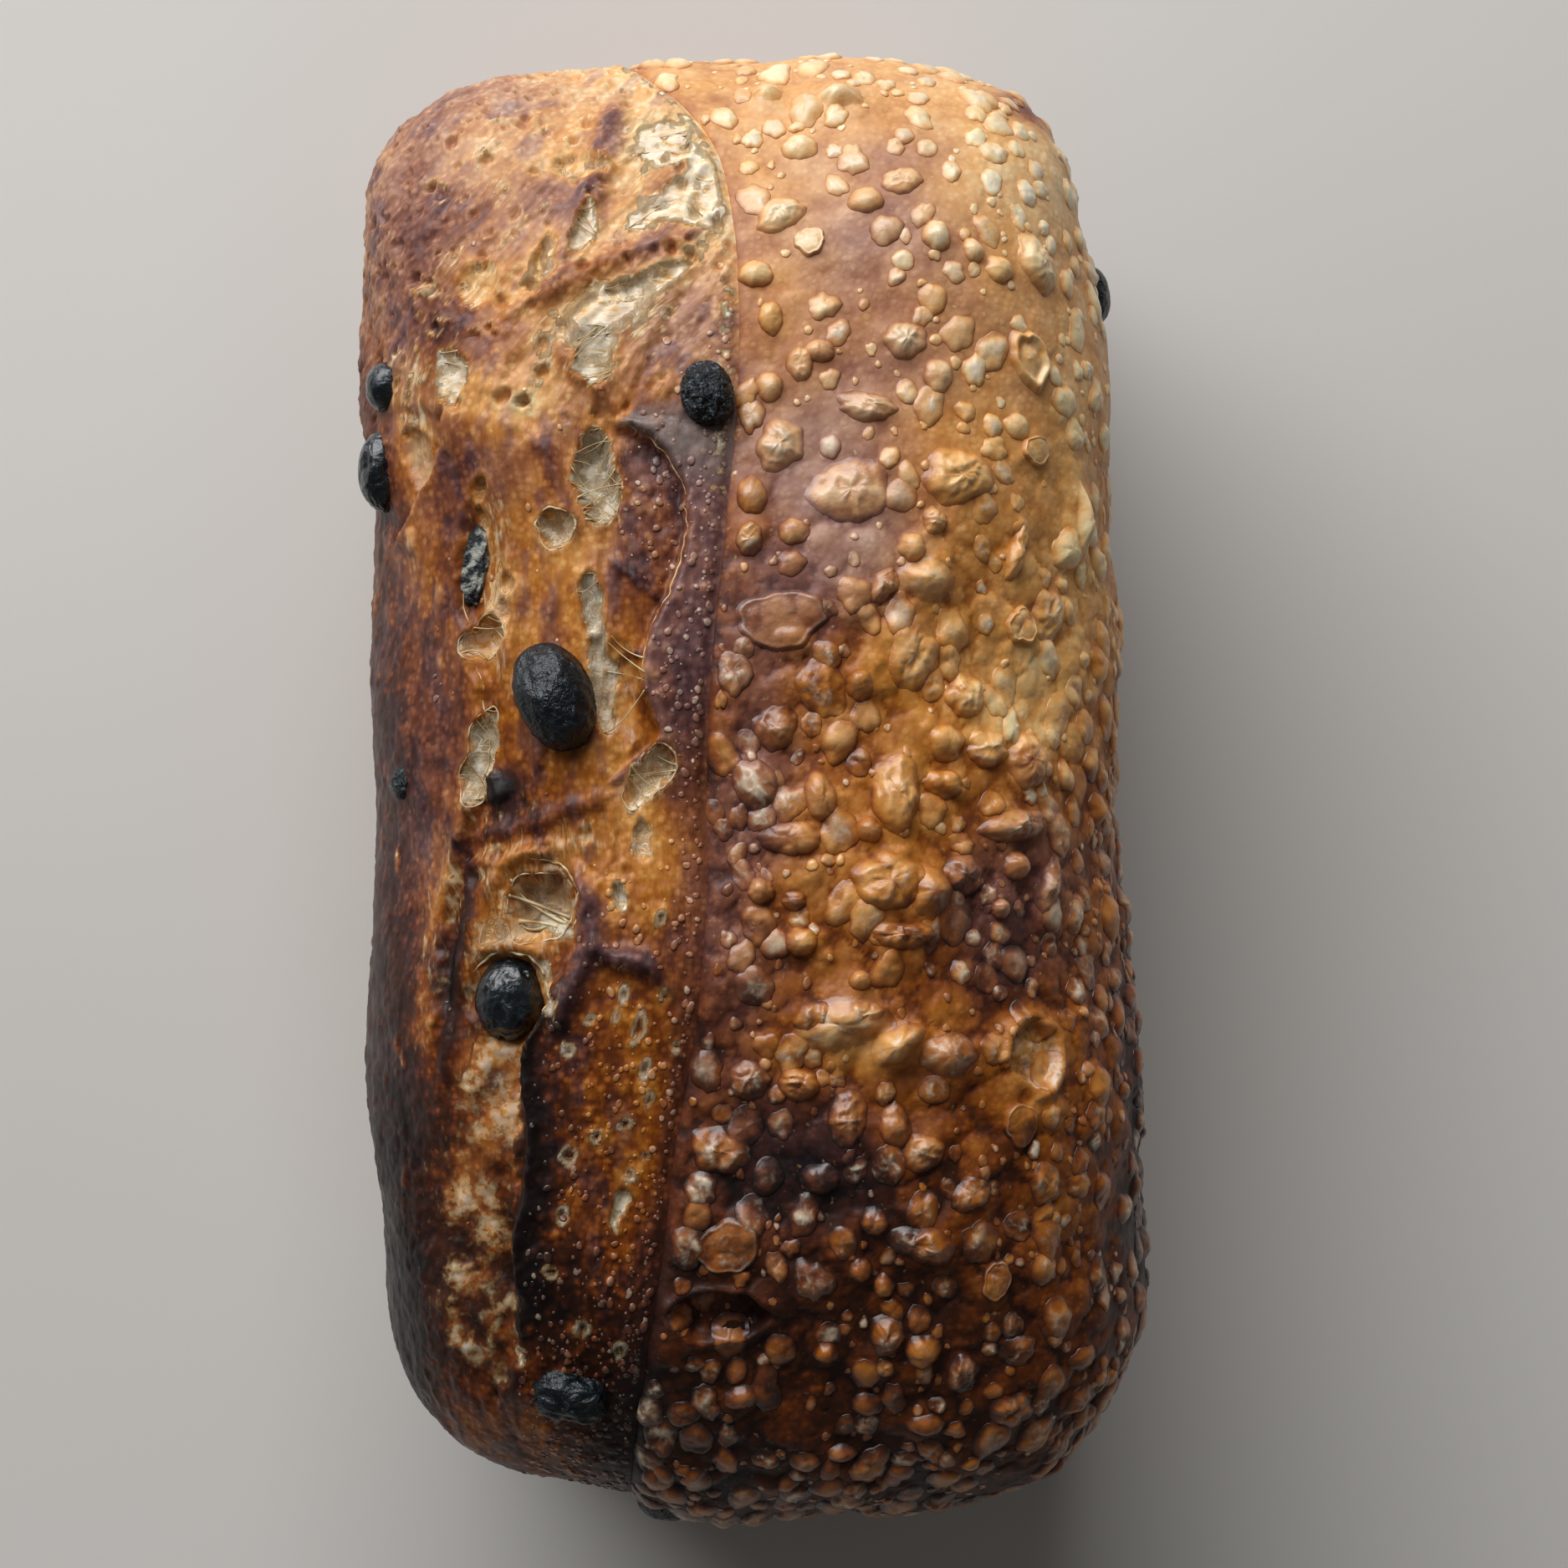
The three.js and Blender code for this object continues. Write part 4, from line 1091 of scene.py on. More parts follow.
burst = {
    # torn edges: the side that stands up (1 right, -1 left), rise, drop, how far each fades,
    # strength of the pale line, and the path
    "archLip": {
        "high": 1, "rise": 1.5, "drop": 1.8, "fades": (9, 4.5), "pale": 0.25,
        "path": [
            (-13, 54.6), (-20.4, 50.6), (-16.8, 48.9), (-13.2, 46.2), (-11.0, 42.2), (-10.1, 37.2),
            (-10.4, 32), (-12.0, 26), (-14.2, 21.5), (-16.0, 16.5), (-16.4, 11), (-14.8, 6.5),
            (-14.6, 2), (-18, -1.6), (-21, -4),
        ],
    },
    "shoulderLip": {
        "high": 1, "rise": 1.0, "drop": 1.6, "fades": (9, 8), "pale": 0.2,
        "path": [(-46, 55), (-47.5, 48.5), (-50, 43), (-53, 38), (-56.5, 34)],
    },
    "midFlap": {
        "high": -1, "rise": 0.9, "drop": 1.6, "fades": (7, 5), "pale": 0.35,
        "path": [
            (-42.5, 43), (-43.6, 35), (-44.0, 25), (-42.5, 18), (-40.5, 9), (-40.8, 2),
            (-42.4, -7.5), (-45, -16), (-46.4, -28), (-46.6, -38), (-47.2, -46),
        ],
    },
    "burntLip": {
        "high": 1, "rise": 1.6, "drop": 2.0, "fades": (9, 6), "pale": 0.1,
        "path": [
            (-27.5, -14), (-26.2, -21), (-26.6, -28), (-29.6, -34), (-33, -40), (-34.6, -46),
            (-33.6, -53), (-33.4, -60), (-35.4, -70), (-35.4, -78), (-36.4, -86),
        ],
    },
    # the smooth hollow left of the burnt lip
    "channel": {
        "half": 6.8, "depth": 1.6,
        "path": [(-39, -44), (-41, -52), (-42.4, -63), (-42.4, -74), (-41, -85), (-39, -95)],
    },
    # bands of drawn-out crust: height, half width, browner by, purple by, crumb, and the path
    "bands": [
        (1.6, 2.5, 0.22, 0.10, 0,
         [(-36, 68.4), (-30, 71.2), (-24, 74.6), (-17, 77.6), (-11.5, 80.2), (-6.4, 81.4)]),
        (1.5, 2.3, 0.26, 0.45, 0,
         [(-30, 72), (-28, 78), (-26, 85), (-24.4, 92), (-22.8, 99), (-20.5, 106)]),
        (1.1, 1.9, 0.26, 0.10, 0, [(-17, 87.5), (-13.2, 90.6), (-10.0, 93.4)]),
        (0.9, 1.5, 0.18, 0.0, 0, [(-29.5, 62), (-25.6, 57.4), (-21.2, 53.4)]),
        (1.0, 2.6, 0.14, 0.10, 0, [(-37.5, 54), (-37, 60), (-35.6, 68)]),
        (0.9, 1.3, 0.06, 0.2, 0.1,
         [(-44.5, -11), (-38, -10.5), (-31, -8.6), (-25, -6.6), (-20, -5)]),
        (0.9, 1.3, 0.0, -0.2, 0.42, [(-43, -15), (-37, -14.4), (-31.5, -12.4), (-27.5, -12.6)]),
        (1.2, 1.7, -0.02, -0.2, 0.40,
         [(-44.5, -36), (-43.5, -30), (-41.4, -23), (-38.8, -17.6), (-34.6, -14.4), (-29, -13.4)]),
        (1.0, 1.6, 0.20, 0.3, 0,
         [(-44, -11), (-43, -19), (-44.4, -27), (-45.4, -36), (-45.5, -48)]),
        (0.4, 2.3, -0.16, -0.3, 0.30, [(-46, -16), (-48.2, -26), (-48.6, -36), (-48.0, -46)]),
        (2.2, 1.5, 0.10, 1.0, 0,
         [(-26.2, -15.5), (-24.8, -20.5), (-23.2, -25.5), (-21.5, -28.8), (-16, -30.2),
          (-11.4, -34)]),
        (1.7, 1.6, 0.14, 0.9, 0, [(-23.4, -26.5), (-24.6, -30.5), (-27, -35), (-29.4, -42)]),
        (1.0, 1.1, -0.14, -0.3, 0.5, [(-41.5, -27.8), (-36, -28.8), (-30.6, -28.0)]),
        (0.3, 2.4, -0.05, -0.5, 0.0,
         [(-20.5, -31), (-18.4, -38), (-16.2, -46), (-15.6, -56), (-17, -66), (-19, -76)]),
        (0.3, 2.6, -0.04, -0.4, 0.0, [(-16, -4), (-15, -12), (-14.5, -20), (-16, -27)]),
        (0.8, 0.7, 0.14, 0.2, 0, [(-21, 30), (-17, 26.5), (-13.5, 23.5)]),
        (0.8, 0.6, 0.24, 0.7, 0, [(-21.4, -3.8), (-17.6, -0.8), (-13.4, 2.6)]),
        (0.7, 0.55, 0.22, 0.7, 0, [(-20.8, 15.5), (-18.6, 16.0), (-15.6, 15.6)]),
        (0.6, 0.5, -0.04, 0.0, 0.5, [(-23.4, 9.6), (-20, 10.2), (-15.6, 10.0)]),
        (0.8, 1.0, 0.02, 0.0, 0.35, [(-39, 42), (-37, 30), (-35.6, 24), (-36.4, 18), (-37.6, 12)]),
        (0.9, 1.2, 0.14, 0.3, 0, [(-33, 50), (-30, 44), (-27.8, 38), (-26.4, 32)]),
        (0.8, 1.4, 0.12, 0.35, 0, [(-29, 28), (-30.5, 20), (-29, 12), (-31, 4), (-33, -4)]),
        (1.2, 2.0, 0.36, 0.7, 0, [(-40.2, -1.4), (-39.2, -3.8), (-38.6, -6)]),
    ],
    # torn holes: place, half sizes, turn, depth, crumb, yellow, ash
    "holes": [
        (-25.8, 81, 1.8, 4.4, -12, 0.7, 1.0, 0.30, 0.1),
        (-16.0, 84.0, 4.2, 1.8, 26, 0.4, 1.0, 0.25, 0.0),
        (-7.9, 87.6, 2.1, 4.6, -10, 0.6, 1.0, 0.30, 0.0),
        (-13.6, 96.3, 4.6, 4.2, 20, 0.3, 1.0, 0.35, 0.0),
        (-16.2, 72.6, 7.4, 1.7, 27, 0.6, 1.0, 0.20, 0.0),
        (-23.5, 60.5, 3.4, 4.4, 5, 1.0, 1.0, 0.05, 0.20),
        (-44.6, 58.6, 2.4, 4.3, -8, 0.4, 1.0, 0.25, 0.0),
        (-31.8, 76.0, 2.2, 4.8, -16, 0.8, 0.7, 0.50, 0.0),
        (-26.6, 92.6, 4.2, 2.6, 10, 0.8, 0.6, 0.50, 0.0),
        (-42.0, 73.0, 2.8, 3.8, 0, 0.6, 0.55, 0.40, 0.0),
        (-23.4, 42.4, 3.3, 7.6, 3, 2.8, 0.86, 0.10, 0.6),
        (-29.4, 34.6, 2.3, 3.2, 0, 2.2, 0.9, 0.30, 0.0),
        (-24.2, 23.4, 2.0, 5.0, -6, 1.2, 0.85, 0.05, 0.8),
        (-41.0, 41.2, 1.3, 2.1, 0, 1.2, 0.7, 0.75, 0.0),
        (-40.9, 36.8, 1.1, 1.9, 0, 1.2, 0.65, 0.75, 0.0),
        (-37.2, 27.2, 1.4, 1.7, 0, 1.0, 0.6, 0.8, 0.0),
        (-37.6, 23.2, 1.3, 1.9, 10, 1.0, 0.6, 0.8, 0.0),
        (-40.6, 18.7, 2.7, 3.6, -12, 2.6, 0.8, 0.7, 0.0),
        (-19.8, 9.6, 3.2, 8.4, 2, 1.5, 0.46, 1.0, 0.1),
        (-22.6, 12.0, 1.7, 8.8, 4, 1.2, 0.85, 0.25, 0.6),
        (-41.2, 1.0, 1.8, 7.4, -12, 1.6, 0.82, 0.05, 0.5),
        (-15.4, -2.6, 2.5, 5.0, -36, 2.2, 0.86, 0.25, 0.2),
        (-16.0, -11.6, 1.6, 3.6, 6, 1.0, 0.8, 0.35, 0.1),
        (-24.8, -11.2, 0.9, 1.5, 0, 1.4, 0.6, 0.3, 0.4),
        (-32.2, -22.0, 4.8, 5.4, -28, 4.2, 0.58, 0.60, 0.75),
        (-30.6, -24.2, 3.6, 2.2, -20, 0.3, 1.0, 0.10, 0.8),
        (-30.6, -33.6, 1.7, 3.8, 12, 0.7, 0.9, 0.35, 0.5),
        (-20.0, -20.5, 1.3, 1.9, 0, 1.2, 1.0, 0.05, 0.3),
        (-36.6, -34.8, 6.4, 7.4, 0, 3.4, 0.35, 0.75, 0.0),
        (-19.5, -66.2, 1.4, 2.9, -24, 1.0, 1.0, 0.05, 0.1),
        (-51.6, 47.0, 2.2, 5.5, 12, 1.4, 0.40, 0.5, 0.6),
        (-34.6, 54.2, 1.0, 1.2, 0, 0.8, 0.7, 0.4, 0.0),
    ],
    # small open pores with a pale rim: place and half sizes
    "pores": [
        (-12.9, -34.9, 0.7, 1.3), (-16.9, -39.6, 0.9, 2.8), (-18.8, -34.8, 0.7, 1.3),
        (-20.2, -37.6, 0.6, 0.8), (-23.8, -38.6, 0.8, 1.1), (-11.4, -42.4, 0.7, 1.0),
        (-16.0, -46.0, 0.8, 1.5), (-15.4, -50.4, 0.7, 1.2), (-18.8, -54.2, 1.0, 1.0),
        (-23.2, -56.0, 0.9, 1.2), (-27.2, -58.6, 1.1, 1.9), (-16.3, -58.8, 0.7, 1.0),
        (-18.3, -61.6, 0.9, 0.9), (-28.0, -67.4, 1.0, 1.5), (-29.8, -75.6, 0.9, 0.9),
        (-25.6, -84.0, 1.3, 1.6), (-20.0, -87.5, 1.1, 1.3), (-34.5, -88.0, 1.2, 1.2),
        (-13.6, -23.6, 0.8, 1.2), (-27.0, -43.0, 0.8, 1.0),
    ],
    # soft patches of torn dough: place, reach across and along, turn, crumb, golden
    "patches": [
        (-12, 92, 7, 10, 10, 0.92, 0.4), (-27, 66, 12, 9, 30, 0.50, 0.5),
        (-37, 88, 9, 8, 0, 0.36, 0.6), (-46, 76, 5, 7, 0, 0.26, 0.4),
        (-20, 68, 9, 5, 27, 0.78, 0.5), (-9, 86, 5, 9, -10, 0.7, 0.4),
        (-28, 46, 8, 10, 0, 0.22, 0.8), (-33, 24, 8, 12, 0, 0.22, 0.8),
        (-24, 8, 9, 13, 0, 0.14, 1.0), (-38.5, 26, 3, 16, 3, 0.55, 0.5),
        (-18, -9, 7, 9, 0, 0.18, 0.9), (-32, -13, 11, 5, 8, 0.36, 0.6),
        (-43, -22, 5, 14, 12, 0.50, 0.5), (-36, -27, 9, 12, 0, 0.46, 0.6),
        (-18, -43, 4, 14, -8, 0.08, 0.9), (-26, -70, 8, 20, 0, 0.0, 0.8),
        (-51, 60, 5, 9, 0, 0.38, 0.2), (-13, 84, 5, 7, 0, 0.40, 0.6),
        (-51.5, 51, 2.6, 4, 0, 0.40, 0.5), (-20, 101, 10, 4, 0, 0.35, 0.5),
    ],
    "stripBrown": 0.04,  # the leathery strip beside the score
    "stripPurple": 0.85,
}


def rightOf(x, y, path):
    # how far right of a path that runs from the far end to the near end
    curve = curveThrough(path)[::-1]
    return x - np.interp(y, curve[:, 1], curve[:, 0])


def tornWander(base):
    # how far torn edges wander from their smooth paths, widely and in fine frays: sums of noises
    bend = noises(base, 6, (101, 102)) * 0.9
    fray = noises(base, 2.6, (103, 104)) * 0.5
    return bend, fray + noises(base, 1.4, (105, 106)) * 0.2


def drawnOut(along, across, z, times):
    # places squeezed along the tear, so that noise read there comes out drawn along it
    return np.stack([along / times, across, z / 2], -1)


def doughKinds(x, y, wx, wy):
    # where the dough is leathery strip, skin beside it, arch, amber skin, shoulder and lacy crumb,
    # and what is left of a calm surface: products of smooth steps over the plan and torn edges
    lip = rightOf(wx, wy, burst["archLip"]["path"])
    strip = smoothStep(lip, -0.2, 0.9) * smoothStep(y, -9, 1) * smoothStep(y, 55, 51)
    beside = smoothStep(x, -14, -9) * smoothStep(y, 76, 56) * (1 - strip) * smoothStep(y, -30, 0)
    arch = smoothStep(lip, 0.2, -0.5) * smoothStep(x, -21.5, -19)
    arch = arch * smoothStep(y, 24, 30) * smoothStep(y, 52, 48)
    amber = smoothStep(rightOf(wx, wy, burst["burntLip"]["path"]), 0, 3) * smoothStep(y, -12, -24)
    amber = np.maximum(amber, smoothStep(x, -17, -11) * smoothStep(y, -6, -16))
    shoulder = smoothStep(-x, 43, 48) * smoothStep(y, 45, 36) * smoothStep(y, -100, -70)
    lace = smoothStep(y, 42, 56) * (1 - strip) * (1 - 0.6 * beside)
    webbed = 0.8 * bell((y + 14) / 10, 1.3) * smoothStep(-x, 17, 22)
    lace = np.maximum(lace, webbed * (1 - shoulder))
    calm = 1 - np.clip(strip + 0.9 * arch + 0.75 * amber + 0.6 * shoulder + 0.5 * beside, 0, 1)
    return strip, beside, arch, amber, shoulder, lace, calm


def burstCrust():
    # the base form with torn edges, bands, holes and stretched dough, moved out along its normals
    s, t = crustGridSteps(-1)
    base = topPoint(s, t)
    normals = gridNormals(base)
    x, y, z = base[..., 0], base[..., 1], base[..., 2]
    bend, fray = tornWander(base)
    wx, wy = x + 0.5 * bend[..., 0] + fray[..., 0], y + 0.5 * bend[..., 1] + fray[..., 1]
    tx, ty = x + 1.4 * bend[..., 0] + fray[..., 0], y + 1.4 * bend[..., 1] + fray[..., 1]
    bend, fray = bend[..., [0, 1, 0]], fray[..., [0, 1, 0]]  # upwards as well
    brown, purple, golden = roastAt(base)
    closedSkin = brown + 0.02, purple, golden
    golden = golden - 0.12 + 0.22 * smoothStep(y, -30, 0)
    brown = brown - 0.04 * smoothStep(y, -40, -5) - 0.10 * smoothStep(y, 40, 85)
    ash = 0 * x

    # dough drawn along the tear: up the loaf, and slanting at the far end
    slant = np.radians(mix(93, 52, smoothStep(y, 35, 75)))
    dx, dy = x + 30, y - 55
    along = dx * np.cos(slant) + dy * np.sin(slant)
    across = -dx * np.sin(slant) + dy * np.cos(slant)
    drawn = drawnOut(along, across, z, 3.2) + 0.6 * fray
    ridges = 1 - 2.2 * np.abs(layeredWaves(drawn, 4.4, 3, 111))
    fibres = 1 - 2 * np.abs(layeredWaves(drawn, 1.9, 2, 121))
    streaks = layeredWaves(drawnOut(along, across, z, 3), 4.6, 4, 125)
    golden = golden + 0.5 * (smoothStep(streaks, -0.14, 0.14) - 0.5)
    redder = smoothStep(layeredWaves(drawnOut(along, across, z, 2.4), 3.6, 4, 127), 0.06, 0.24)
    purple = purple + 0.45 * redder
    brown = brown + 0.06 * redder

    # stretched crumb where the dough tore softly
    strip, beside, arch, amber, shoulder, lace, calm = doughKinds(x, y, wx, wy)
    crumb = 0 * x
    for *place, wide, long, turn, torn, yolk in burst["patches"]:
        share = bell(insideOval(tx, ty, place, (wide, long), turn), 1.0)
        crumb = crumb + torn * share
        golden = mix(golden, yolk, np.clip(share * 0.8, 0, 1))
    crumb = crumb * (1 - strip) * (1 - 0.7 * arch)
    clumps = layeredWaves(base + 1.5 * bend, 5, 3, 151)
    crumb = crumb + (0.34 * clumps - 0.12 * ridges) * (0.25 + 0.75 * lace) * calm
    rough = (0.30 + 0.45 * lace) * ridges + 0.16 * fibres + 0.5 * clumps * lace
    height = uneven(base) + calm * rough
    brown = brown + calm * (0.08 * ridges + 0.04 * fibres - 0.10 * clumps) - 0.05 * lace

    # spongy pores, browner inside: painted shade in the pits
    for size, depth, openFrom, seed in ((3.6, 0.9, 0.62, 131), (2.2, 0.5, 0.55, 132)):
        pit, number = pores(base + 1.5 * fray, size, seed)
        chosen = smoothStep(number, openFrom, openFrom + 0.12) * (0.15 + 0.85 * lace) * calm
        inside = smoothStep(pit, 0.44, 0.16) * chosen
        rim = bell(pit - 0.46, 0.11) * chosen
        height = height - depth * inside + 0.20 * rim
        crumb = crumb + 0.10 * inside + 0.30 * rim
        brown = brown + 0.06 * inside - 0.08 * rim
        golden = golden + 0.25 * inside

    # round swellings of skin that stayed closed
    bumpy = np.clip(strip + arch + 0.9 * amber + 0.55 * shoulder + 0.8 * beside + 0.20 * calm, 0, 1)
    swellings = ((3.4, 0.40, 0.08, 181), (2.2, 0.34, 0.14, 182), (1.5, 0.22, 0.18, 183))
    for size, tall, paler, seed in swellings:
        dome, number = domes(base + fray, size, seed)
        standing = dome * smoothStep(number, 0.25, 0.8) * bumpy * 0.7
        height = height + tall * standing
        brown = brown - paler * standing * (1 - 0.2 * strip)
        purple = purple - 0.25 * standing * strip
    hood = strip * smoothStep(y, 38, 48)
    brown = brown + burst["stripBrown"] * strip + 0.13 * arch + 0.05 * beside + 0.10 * hood
    ash = ash + 0.35 * hood
    purple = purple + burst["stripPurple"] * strip + 0.25 * beside + 0.25 * arch
    golden = golden * (1 - strip)

    for name in ("archLip", "shoulderLip", "midFlap", "burntLip"):
        edge = burst[name]
        away, side, share = besideCurve(wx, wy, curveThrough(edge["path"]))
        ends = smoothStep(share, 0, 0.10) * smoothStep(share, 1, 0.86)
        outside = side * edge["high"] * away
        raised = edge["rise"] * np.exp(-np.maximum(outside, 0) / edge["fades"][0])
        dropped = -edge["drop"] * np.exp(np.minimum(outside, 0) / edge["fades"][1])
        height = height + ends * mix(dropped, raised, smoothStep(outside, -0.9, 0.9))
        height = height + 0.25 * bell(outside - 0.9, 0.8) * ends
        crumb = np.maximum(crumb, edge["pale"] * bell(outside + 0.1, 0.42) * ends)
        # browner just below each raised lip, on its low side: painted shade under the lip
        under = smoothStep(outside, 0.0, -1.2) * np.exp(np.minimum(outside, 0) / 1.8)
        brown = brown + 0.12 * under * ends

    away, side, _ = besideCurve(wx, wy, curveThrough(burst["burntLip"]["path"]))
    jag = 1.2 * layeredWaves(base, 3, 2, 199)
    charred = smoothStep(side * away + jag, -0.6, 0.4) * np.exp(-away / (2.6 + 1.5 * jag)) * 1.1
    charred = charred * smoothStep(y, -30, -42) * smoothStep(y, -92, -74)
    height = height + charred * (0.9 * np.abs(layeredWaves(base, 2.4, 2, 198)) + 0.2)
    brown = brown + 0.80 * charred
    purple = purple + 0.5 * charred
    crumb = crumb * (1 - charred)

    for tall, width, browner, purpler, web, path in burst["bands"]:
        away, _, share = besideCurve(wx, wy, curveThrough(path))
        taper = smoothStep(share, 0, 0.18) * smoothStep(share, 1, 0.82)
        body = bell(away, width * (0.45 + 0.55 * taper)) * (0.35 + 0.65 * taper)
        height = height + tall * body
        brown = brown + browner * body
        purple = purple + purpler * body
        golden = golden - 0.8 * purpler * body
        crumb = mix(crumb, web + 0.2 * clumps, np.clip(body * 1.2, 0, 1))

    # the hollow left of the burnt lip, with folds of dough drawn across it
    channel = burst["channel"]
    away, side, share = besideCurve(wx, wy, curveThrough(channel["path"]))
    half = channel["half"] * mix(1, 0.68, smoothStep(y, -64, -46)) * smoothStep(share, 1.06, 0.80)
    soften = np.where(side > 0, 0.8, 3.0)
    hollow = smoothStep(away + 2.4 * clumps, half + soften, half - 1.6 * soften)
    ribs = 1 - 2 * np.abs(layeredWaves(np.stack([x / 2.4, y, z / 3], -1), 3.4, 2, 191))
    soft = layeredWaves(base, 6, 3, 195)
    height = height - channel["depth"] * hollow
    height = height + hollow * (0.30 * ribs + 0.8 * soft + 0.25 * clumps)
    crumb = mix(crumb, 0.32 + 0.7 * soft + 0.18 * smoothStep(y, -62, -48) + 0.10 * ribs, hollow)
    golden = mix(golden, 0.86 - 0.3 * soft, hollow)
    brown = mix(brown, 0.56 + 0.3 * clumps - 0.3 * soft + 0.16 * smoothStep(y, -58, -72), hollow)
    purple = mix(purple, 0.15, hollow)

    specks = layeredWaves(base, 2.2, 2, 197)
    cells = smoothStep(pores(base + 1.2 * fray, 1.9, 205)[0], 0.42, 0.16)
    for hx, hy, wide, long, turn, depth, torn, yolk, grey in burst["holes"]:
        close = (np.abs(x - hx) < 18) & (np.abs(y - hy) < 18) & (z > loafForm["top"])
        out = insideOval(tx[close], ty[close], (hx, hy), (wide, long), turn)
        size = (wide + long) / 2
        inside = smoothStep(out, 1.08, 0.50)
        rim = bell((out - 1.08) * size, 0.42)
        # the torn skin ends in frays that point into the hole
        bearing = np.arctan2(ty[close] - hy, tx[close] - hx)
        circle = np.stack([np.cos(bearing), np.sin(bearing), 0 * bearing + hx], -1)
        frays = layeredWaves(circle * size, 1.5, 2, 207)
        out = out + 0.55 * frays * bell(out - 1, 0.45)
        torn = torn * (0.92 + 0.5 * specks[close])
        height[close] = mix(height[close], height[close] * 0.6, inside)
        height[close] += 0.28 * rim - depth * inside
        tornIn = mix(crumb[close], torn, smoothStep(out, 1.15, 0.80))
        crumb[close] = np.maximum(tornIn, 0.32 * torn * smoothStep(out, 2.1, 1.0))
        cell = cells[close] * inside
        height[close] -= 0.35 * cell
        golden[close] = mix(golden[close], yolk, smoothStep(out, 1.2, 0.9)) + 0.30 * cell
        ash[close] = mix(ash[close], 0.55 * grey, smoothStep(out, 1.05, 0.6))
        browned = mix(brown[close], 0.20 + 0.28 * yolk + 0.3 * specks[close], inside)
        # browner in the pitted cells: painted shade; paler round the hole
        brown[close] = browned + 0.16 * cell - 0.07 * smoothStep(out, 2.2, 1.1)
        purple[close] = purple[close] * (1 - smoothStep(out, 1.5, 1.0))
    for px, py, wide, long in burst["pores"]:
        close = (np.abs(x - px) < 6) & (np.abs(y - py) < 6) & (z > loafForm["top"])
        out = insideOval(wx[close], wy[close], (px, py), (wide, long), -15)
        size = (wide + long) / 2
        rim = bell((out - 0.9) * size, 0.45) * smoothStep(specks[close], -0.35, 0.1)
        height[close] += 0.22 * rim - 0.5 * smoothStep(out, 0.8, 0.2)
        crumb[close] = np.maximum(crumb[close], 0.95 * rim + 0.35 * (out < 1))
        brown[close] -= 0.12 * bell((out - 1.0) * size, 1.0)
        golden[close] = mix(golden[close], 0.5, smoothStep(out, 1.6, 1.0))

    # pale, drawn-out blisters in the skin of the left shoulder
    beads, beadNumber = pores(base / (1, 2.2, 1) + 0.9 * fray, 3.0, 161)
    paleBead = smoothStep(beads, 0.46, 0.12) * smoothStep(beadNumber, 0.76, 0.90) * shoulder
    height = height + 0.40 * paleBead
    brown = brown - 0.24 * paleBead
    crumb = np.maximum(crumb, 0.34 * paleBead)
    golden, purple = golden * (1 - 0.8 * paleBead), purple * (1 - 0.5 * paleBead)

    # the crust runs on under the right-hand crust and dips to the score line
    fromScore = (scoreAt[:, None] - s) * crustGrid["stepLength"]
    under = np.maximum(-fromScore, 0)
    atScore = bell(fromScore, 0.9)
    height = mix(height, uneven(base), atScore) - 0.3 * atScore - 0.9 * under
    crumb = crumb * smoothStep(fromScore, 0.2, 1.5)
    blend = bell(fromScore, 3.5) * smoothStep(y, 15, -5)
    tones = brown, purple, golden
    brown, purple, golden = (mix(*pair, blend) for pair in zip(tones, closedSkin))
    purple = purple + 0.3 * bell(fromScore, 3) * smoothStep(y, 15, -5)
    fleck = smoothStep(waves(base, 1.5, 171), 0.0, 0.3) * smoothStep(y, 20, 50)
    crumb = np.maximum(crumb, bell(fromScore - 1.3, 1.3) * fleck)

    sides = smoothStep(z, 60.2, 66)
    height = mix(uneven(base), height, sides)
    crumb = crumb * sides
    points = base + normals * height[..., None]
    tones = np.stack([brown, purple, golden, bumpy * (1 - crumb)], -1)
    crust = CrustSurface(s, t, points, tones)
    shell, faces, source = closedUnder(s, t, points, crustGrid["leftHeart"])
    channels = {"brown": brown, "purple": purple, "golden": golden, "crumb": crumb, "ash": ash}
    channels = onShell(channels, source)
    # fibre places for the material: long steps along the tear and short ones across it
    cross = smoothStep(crumb, 0.55, 0.85)
    steps = mix(along / 3.0, x / 2.4, cross), mix(across / 0.8, y / 0.8, cross)
    folded = hollow > 0.5
    channels["along"] = np.where(folded, x / 1.7, steps[0]).ravel()[source]
    channels["across"] = np.where(folded, y / 2.0, steps[1]).ravel()[source]
    look = crustLook | {"pebble": 1.2, "pebbleHigh": 0.05, "pebblePaler": 0.16, "mottle": 0.20}
    look |= {"fibreHigh": 0.07, "fibrePaler": 0.16, "shine": 0.28, "gloss": 0.42}
    material = bakedCrust("baked burst crust", look)
    writeMesh("burstCrust", shell, faces, channels, material, ["loaf"])
    return crust


tinWalls = {
    "around": 860,  # points round the loaf
    "endShare": 0.17,  # share of them on each short end
    "down": 84,  # rows down the walls
    "corner": 14,  # rows round the corner
    "under": 14,  # rings in to the middle of the base
    "inset": 0.9,  # the walls stand back this far under the rolled edge
}


